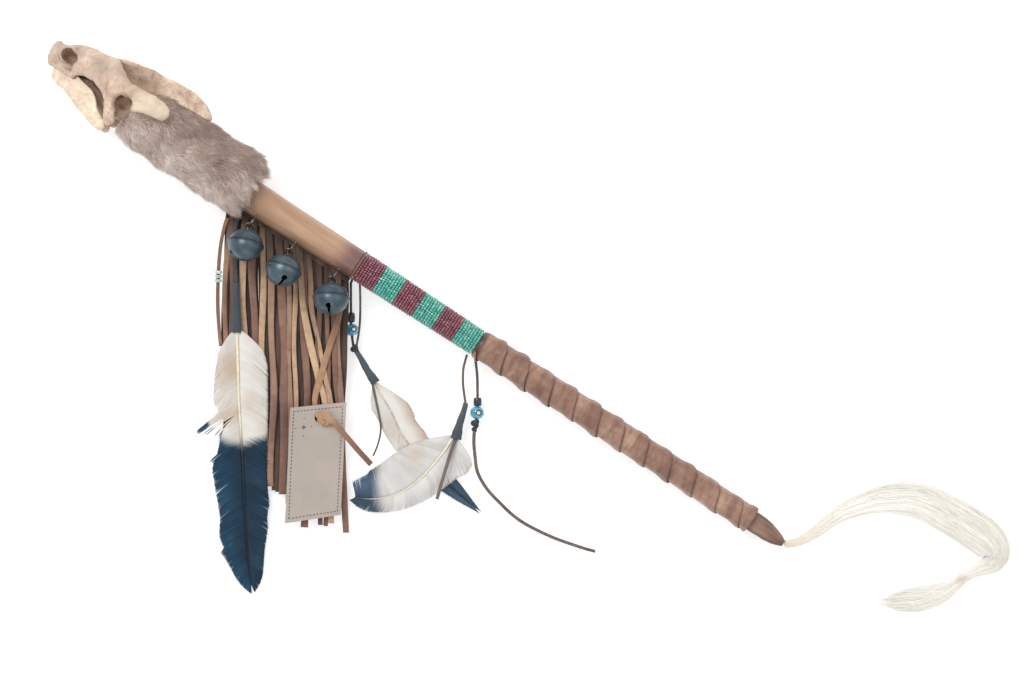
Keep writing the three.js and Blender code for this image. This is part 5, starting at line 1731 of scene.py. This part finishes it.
def right_pendant(paints):
    black_cord, brown_cord, black_paint, glass, hide, tail_hide = paints
    anchor = (295.5, -12)

    def fall(points, lift):
        return draped(anchor, points, lift, leaves=-5, settles=22)

    points = [(0.4, -1.6), (-0.9, 3), (-2, 8.5), (-2, 18.3), (-0.4, 30.6), (-0.3, 33)]
    path = fall(points, 7.2)
    build(
        "right_plain_cord", cord(path, 0.8, 60), brown_cord, "right_pendant_leg", "right_pendant_plain_cord"
    )

    points = [
        (5.9, 1.2), (7.2, 11.8), (7.6, 22), (7.6, 30), (7.4, 38), (5.8, 46), (5.2, 56), (6, 66), (7.6, 76),
        (12.6, 85.4), (19.7, 93.7), (34.7, 107.4), (54.4, 117.9), (74, 125.1), (85.2, 128.4),
    ]
    lift = [4.9 if d < 50 else max(1.3, 4.9 - (d - 50) * 0.09) for _, d in points]
    line = spline(fall(points, lift), 220)
    length = lengths(line)
    total = length[-1]
    size = np.interp(length, [0, 40, 52, 70, total - 6, total], [0.78, 0.78, 1.0, 0.95, 0.9, 0.85])
    section = np.stack([circle(12)[:, 0] * 1.15, circle(12)[:, 1] * 0.8], -1)
    tail = sweep(line, section, size, tint=0.42, shadow=0.0)
    build("right_beaded_cord", tail, brown_cord, "right_pendant_cord", "right_pendant_beaded_cord")

    def at(mm):
        return mm / total

    shape, place, basis = bead_solid(line, at(27.6), at(33.0), 2.7, flat=0.8, bore=0.9)
    build(
        "right_black_bead_glass", shape.moved(basis, place).outward(), black_paint, "right_black_bead",
        "right_pendant_black_bead"
    )
    shape, place, basis = bead_solid(line, at(33.2), at(41.6), 4.7, bore=0.9)
    eye_marks(shape, 78)
    build(
        "right_eye_bead_glass", shape.moved(basis, place).outward(), glass, "right_eye_bead",
        "right_pendant_eye_bead"
    )
    middle, later = read(line, length, np.array([44.6, 48.6]))
    along = unit(later - middle)
    shapes = [knot(middle, along, 2.2, 1.0), ball(middle, (2.0, 2.0, 1.8), tint=0.3, shadow=0.0),
              knot(later, along, 1.35, 0.75), ball(later, (1.1, 1.1, 1.0), tint=0.3, shadow=0.0)]
    build("right_cord_knots", join(shapes), black_cord, "right_pendant_cord", "right_pendant_knot")

    points = [(-0.2, 30.4), (-1.6, 36), (-4.2, 44), (-6.8, 54)]
    path = fall(points, 7.2)
    build(
        "right_feather_wrap", sleeve_shape(path, [1.6, 2.1, 2.7, 3.9]), hide, "right_feather",
        "right_feather_sleeve"
    )
    points = [
        (-8.0, 52), (-14.5, 62), (-24.9, 74.7), (-33, 82.6), (-41.4, 88.3), (-52, 92.2), (-64, 93.6),
        (-74, 92),
    ]
    feather = Feather(over_table(anchor, points, (7.2, 7.2, 7.0, 6.8, 6.6, 6.4, 6.2, 6.0)), 52)
    upper = [
        (0, 1.5), (0.03, 5), (0.08, 9), (0.15, 13.5), (0.25, 19), (0.35, 22.5), (0.5, 24), (0.65, 23),
        (0.78, 21), (0.9, 17.5), (0.97, 14), (1.03, 9),
    ]
    lower = [
        (0, 1.5), (0.02, 8), (0.06, 14), (0.11, 20.5), (0.17, 21.5), (0.24, 18.4), (0.32, 16.4),
        (0.45, 14.4), (0.6, 12), (0.75, 10.4), (0.88, 8.6), (0.97, 6), (1.03, 3),
    ]

    def tan_upper(a, u):
        return 0.75 * np.exp(-((a - 0.3) / 0.1) ** 2) * np.exp(-((u - 0.6) / 0.3) ** 2)

    def tan_lower(a, u):
        return 0.25 * np.exp(-((a - 0.15) / 0.05) ** 2) * u

    count = 300
    shapes = [
        feather.vane(-1, upper, count, 0.10, tan=tan_upper, camber=4.2, droop=3.6, drop=0.2, pull=0.04),
        feather.vane(1, lower, count, 0.10, tan=tan_lower, camber=1.8, droop=3.0, drop=0.2, pull=0.04),
    ]
    paint = feather_paint("right feather", "#D2D1CF", "#C4AF9A", "#26364A", "#53697F", 0.80, 0.07)
    quill = quill_paint("right feather quill", "#E4DCC4", "#6B7683", 0.9)
    dress("right_feather", feather, shapes, paint, quill, 0.95, 0.2)
    points = [(-6.6, 53.6), (-9.6, 61), (-13.0, 72), (-16.6, 84), (-19.2, 93.4)]
    path = over_table(anchor, points, (7.8, 10.2, 11.2, 10.8, 9.6))
    shape = sweep(
        spline(path, 60), strap_section(2.3, 1.5), np.linspace(1.0, 0.95, 60), 0.2, tint=0.5, shadow=0.0
    )
    build("right_feather_end", shape, tail_hide, "right_feather", "right_feather_tail")


# ---------------------------------------------------------------- tag and lace
TAG_HOLE = np.array([236.3, -97.8, fringe_z(-97.8) + 5.6])
TAG_CORNERS = np.array([(-19.6, -4.9), (9.3, 18.4), (46.6, -46.2), (19, -71.2)])
TAG_SIZE = (37.2, 75.6)


def tag():
    """A card cut slightly out of square. The marks u and v are a point's millimetres from its middle."""
    across, down = 38, 76
    gu, gv = np.meshgrid(np.linspace(0, 1, across), np.linspace(0, 1, down))
    top_left, top_right, low_right, low_left = TAG_CORNERS
    flat = ((1 - gv)[..., None] * ((1 - gu)[..., None] * top_left + gu[..., None] * top_right)
            + gv[..., None] * ((1 - gu)[..., None] * low_left + gu[..., None] * low_right))
    ring = 3.1
    dist = np.linalg.norm(flat, axis=-1)
    inside = dist < ring * 0.72
    flat = flat * np.where(dist < ring + 0.4, np.maximum(dist, ring) / np.maximum(dist, 1e-6), 1)[..., None]
    mu, mv = (gu - 0.5) * TAG_SIZE[0], (0.5 - gv) * TAG_SIZE[1]
    curl = 0.5 * (mu / 19) ** 2 + 0.35 * (mv / 38) ** 2 + 0.3
    points = np.concatenate(
        [np.concatenate([flat, (curl + h)[..., None]], -1).reshape(-1, 3) for h in (0.28, -0.28)]
    )
    n = across * down
    index = np.arange(n).reshape(down, across)
    cells = np.stack([index[:-1, :-1], index[:-1, 1:], index[1:, 1:], index[1:, :-1]], -1).reshape(-1, 4)
    cells = cells[~inside.reshape(-1)[cells].any(1)]
    edges = {}
    for cell in cells:
        for a, b in zip(cell, np.roll(cell, -1)):
            if (b, a) in edges:
                del edges[(b, a)]
            else:
                edges[(a, b)] = 1
    wall = np.array([(a, b, b + n, a + n) for a, b in edges])
    faces = np.concatenate([cells, cells[:, ::-1] + n, wall[:, ::-1]])
    used = np.zeros(2 * n, bool)
    used[faces] = True
    renumber = np.cumsum(used) - 1
    marks = {"u": np.tile(mu.ravel(), 2)[used], "v": np.tile(mv.ravel(), 2)[used],
             "front": (np.arange(2 * n) < n)[used].astype(float)}
    shape = Shape(points[used], [renumber[faces]], **marks).outward()
    tilt = math.radians(5)
    lean = np.array([[1, 0, 0], [0, math.cos(tilt), -math.sin(tilt)], [0, math.sin(tilt), math.cos(tilt)]])
    piece = build("card_tag", shape.moved(lean, TAG_HOLE), card_paint(), "tag", "tag")
    crisp(piece)


def lace():
    leather = suede_paint("lace hide", "#513A2E", "#99735B", "#CFA57E")
    anchor = (200.5, -12.4)
    points = [(-0.5, 5), (-4.4, 27), (-9.4, 43), (-14.4, 60), (-19.4, 78), (-18.4, 89)]
    lead = spline(over_fringe(anchor, points, (2.4, 2.8, 3.0, 3.2, 3.6, 3.8)), 70)
    hole = TAG_HOLE
    through = np.array(
        [hole + [-0.8, 0.6, -0.9], hole + [0, 0.2, 1.4], hole + [1.6, -0.4, 3.4], hole + [4.6, -1.6, 3.7]]
    )
    path = resample(
        np.concatenate([lead[:-2], spline(np.concatenate([lead[-2:-1], through]), 30)[1:]]), 120
    )
    share = np.linspace(0, 1, 120)
    size = np.column_stack([np.interp(share, [0, 0.72, 0.86, 1], [1, 1, 0.72, 0.8]), np.ones(120)])
    shapes = [
        sweep(
            path, strap_section(4.2, 1.3), size, 0.15 * np.sin(share * 7),
            tint=np.interp(share, [0, 0.4, 1], [0.4, 0.5, 0.75])[:, None],
            shadow=(0.8 * np.exp(-share * 14))[:, None]
        )
    ]
    right = np.array([math.cos(HANG), math.sin(HANG), 0])
    down = np.array([math.sin(HANG), -math.cos(HANG), 0])

    def spot(a, d, z):
        return hole + right * a + down * d + np.array([0, 0, z])

    wrap = spline(
        [
            spot(1.5, -2.4, 1.6), spot(3.6, -2.8, 3.2), spot(5.6, -0.6, 4.3), spot(5.4, 2.4, 3.9),
            spot(3.4, 3.2, 2.8), spot(1.2, 2.2, 2.0), spot(-0.6, 0.4, 1.6)
        ],
        50
    )
    shapes.append(
        sweep(wrap, strap_section(3.6, 1.3), 1.0, np.linspace(0.5, -0.5, 50), tint=0.86, shadow=0.0)
    )
    over = spline(
        [
            spot(-1.8, -0.6, 1.0), spot(0.2, -1.6, 2.8), spot(3.2, -1.2, 4.8), spot(6.4, 0.8, 4.8),
            spot(9.4, 2.4, 3.4)
        ],
        40
    )
    shapes.append(sweep(over, strap_section(4.4, 1.4), 1.0, 0.2, tint=0.8, shadow=0.0))
    tail_points = [(7.4, 1.6), (10.4, 3.6), (15.0, 9.0), (20.6, 15.6), (26.6, 22.6), (33.8, 30.6)]
    tail = spline([spot(a, d, z) for (a, d), z in zip(tail_points, (3.4, 3.6, 4.6, 4.8, 3.6, 1.6))], 60)
    shapes.append(
        sweep(
            tail, strap_section(3.6, 1.4), 1.0, 0.3 * np.sin(np.linspace(0, 6, 60)),
            tint=np.linspace(0.6, 0.24, 60)[:, None], shadow=0.0
        )
    )
    build("tag_lacing", join(shapes), leather, "stick", "tag_lace")


# ---------------------------------------------------------------- horsehair
def horsehair():
    # Down the hank: aside, drop, width, thickness and height.
    stations = [
        (0.6, 0.4, 4.2, 2.4, 0.2), (9.8, -0.7, 4.8, 2.2, -2.8), (20.7, -6.9, 7, 2.4, -3.0),
        (31.3, -15.3, 8.6, 2.6, -2.4), (41.9, -21.7, 10.4, 2.8, -1.6), (57.8, -27.5, 14.5, 3, -0.6),
        (73.8, -29.7, 19, 3, 0.4), (89.7, -28.2, 22, 3, 1.2), (105.5, -20.6, 22, 3, 1.8),
        (121.5, -11.1, 23, 3.2, 1.8), (133, -2.6, 23, 3.4, 1.6), (139.6, 4.6, 20, 4, 1.4),
        (139.8, 11, 14, 4.4, 0.6), (133.6, 15.8, 9.6, 3.8, -0.4), (124.7, 19.6, 5.4, 3, -1.0),
        (116.2, 25.4, 5.2, 3, -1.4), (106.5, 32.2, 11.6, 3, -1.6), (92.7, 36.2, 15.8, 3, -1.4),
        (76.8, 38.4, 14.8, 2.8, -1.2), (62.1, 39.2, 13.5, 2.2, -1.0),
    ]
    source = np.array([(*hung(*HAIR_ROOT, aside, drop), z) for aside, drop, _, _, z in stations])
    line = spline(source, 140)
    share = np.linspace(0, 1, 140)
    length = lengths(source)
    width, thick = (np.interp(share, length / length[-1], [s[i] for s in stations]) for i in (2, 3))
    width = np.convolve(np.pad(width, 4, mode="edge"), np.ones(9) / 9, "valid")
    _, side, up = directions(line)
    rng = np.random.default_rng(77)
    count = 780
    a = rng.uniform(-1, 1, count)
    b = rng.uniform(-1, 1, count) * np.sqrt(1 - a**2 * 0.8)
    u = np.linspace(0, 139, 40) / 139
    finish = np.clip(1 - np.abs(rng.normal(0, 0.05, count)) - 0.07 * a**2, 0.7, 1.0)
    at = finish[:, None] * u

    def wander(amount, slowest, fastest):
        return amount * np.sin(
            at * rng.uniform(slowest, fastest, (count, 1)) + rng.uniform(0, 6.28, (count, 1))
        )

    wa = a[:, None] + wander(0.13, 5, 11)
    wb = b[:, None] + wander(0.3, 4, 9)
    index, steps = at * 139, np.arange(140)
    middle, s3, u3 = (read(table, steps, index) for table in (line, side, up))
    w3, t3 = (np.interp(index, steps, table) for table in (width, thick))
    centre = middle + s3 * (wa * w3 / 2)[..., None] + u3 * (wb * t3 / 2)[..., None]
    along = unit(np.gradient(centre, axis=1))
    s3 = unit(np.cross(u3, along))
    u3 = np.cross(along, s3)
    radius = rng.uniform(0.16, 0.27, count)[:, None] * np.interp(u, [0, 0.93, 1], [1, 1, 0.35])
    corner = np.array([(0.0, 1.0), (-0.866, -0.5), (0.866, -0.5)])
    out = s3[:, :, None] * corner[:, :1] + u3[:, :, None] * corner[:, 1:]
    points = centre[:, :, None] + out * radius[:, :, None, None]
    tint = rng.uniform(0, 1, (count, 1))
    pinch = np.exp(-((at - 0.762) / 0.007) ** 2)
    shape = strands(points, tint=tint, knot=pinch, along=at)
    build("horsehair_hank", shape, hair_paint(), "horsehair", "horsehair", uv=("knot", "tint"))


# ---------------------------------------------------------------- stage
def studio():
    scene = bpy.context.scene
    scene.view_settings.view_transform = "Standard"
    half, level = 2.2, -0.0015
    mesh = bpy.data.meshes.new("floor")
    corners = [(-half, -half, level), (half, -half, level), (half, half, level), (-half, half, level)]
    mesh.from_pydata(corners, [], [(0, 1, 2, 3)])
    floor = bpy.data.objects.new("floor", mesh)
    scene.collection.objects.link(floor)
    p = Paint("white sweep", emission_color=(1, 1, 1), emission_strength=0.62)
    floor.data.materials.append(p.done(p.noise(3, 2).ramp((0.3, "#C9C9C9"), (0.7, "#CBCBCB")), 0.9))

    world = bpy.data.worlds.new("studio")
    world.use_nodes = True
    world.node_tree.nodes["Background"].inputs[0].default_value = (1, 1, 1, 1)
    world.node_tree.nodes["Background"].inputs[1].default_value = 0.5
    scene.world = world

    target = Vector(row((314.6, 13.2, 0)))
    right = Vector((math.cos(HANG), math.sin(HANG), 0))
    up = Vector((-math.sin(HANG), math.cos(HANG), 0))

    def panel(name, offset, size, power, colour=(1, 1, 1)):
        light = bpy.data.lights.new(name, "AREA")
        light.shape, light.size, light.energy, light.color = "SQUARE", size, power, colour
        lamp = bpy.data.objects.new(name, light)
        scene.collection.objects.link(lamp)
        lamp.location = target + right * offset[0] + up * offset[1] + Vector((0, 0, offset[2]))
        lamp.rotation_euler = (target - lamp.location).to_track_quat("-Z", "Y").to_euler()

    panel("key", (-0.75, 0.85, 1.5), 0.9, 20)
    panel("fill", (1.2, 0.3, 1.3), 1.4, 7)
    panel("rim", (-0.3, -1.3, 1.0), 1.0, 4)

    camera = bpy.data.cameras.new("camera")
    camera.sensor_width, camera.lens = 36, 135
    photo_width = 0.6707
    distance = photo_width / camera.sensor_width * camera.lens
    camera.clip_end = 20
    eye = bpy.data.objects.new("camera", camera)
    scene.collection.objects.link(eye)
    eye.location = target + Vector((0, 0, distance))
    eye.rotation_euler = (0, 0, HANG)
    scene.camera = eye


staff()
skull()
fur()
collar()
beadwork()
grip()
bells()
fringe()
thong()
long_feather()
right_pendant(left_pendant())
lace()
tag()
horsehair()
studio()
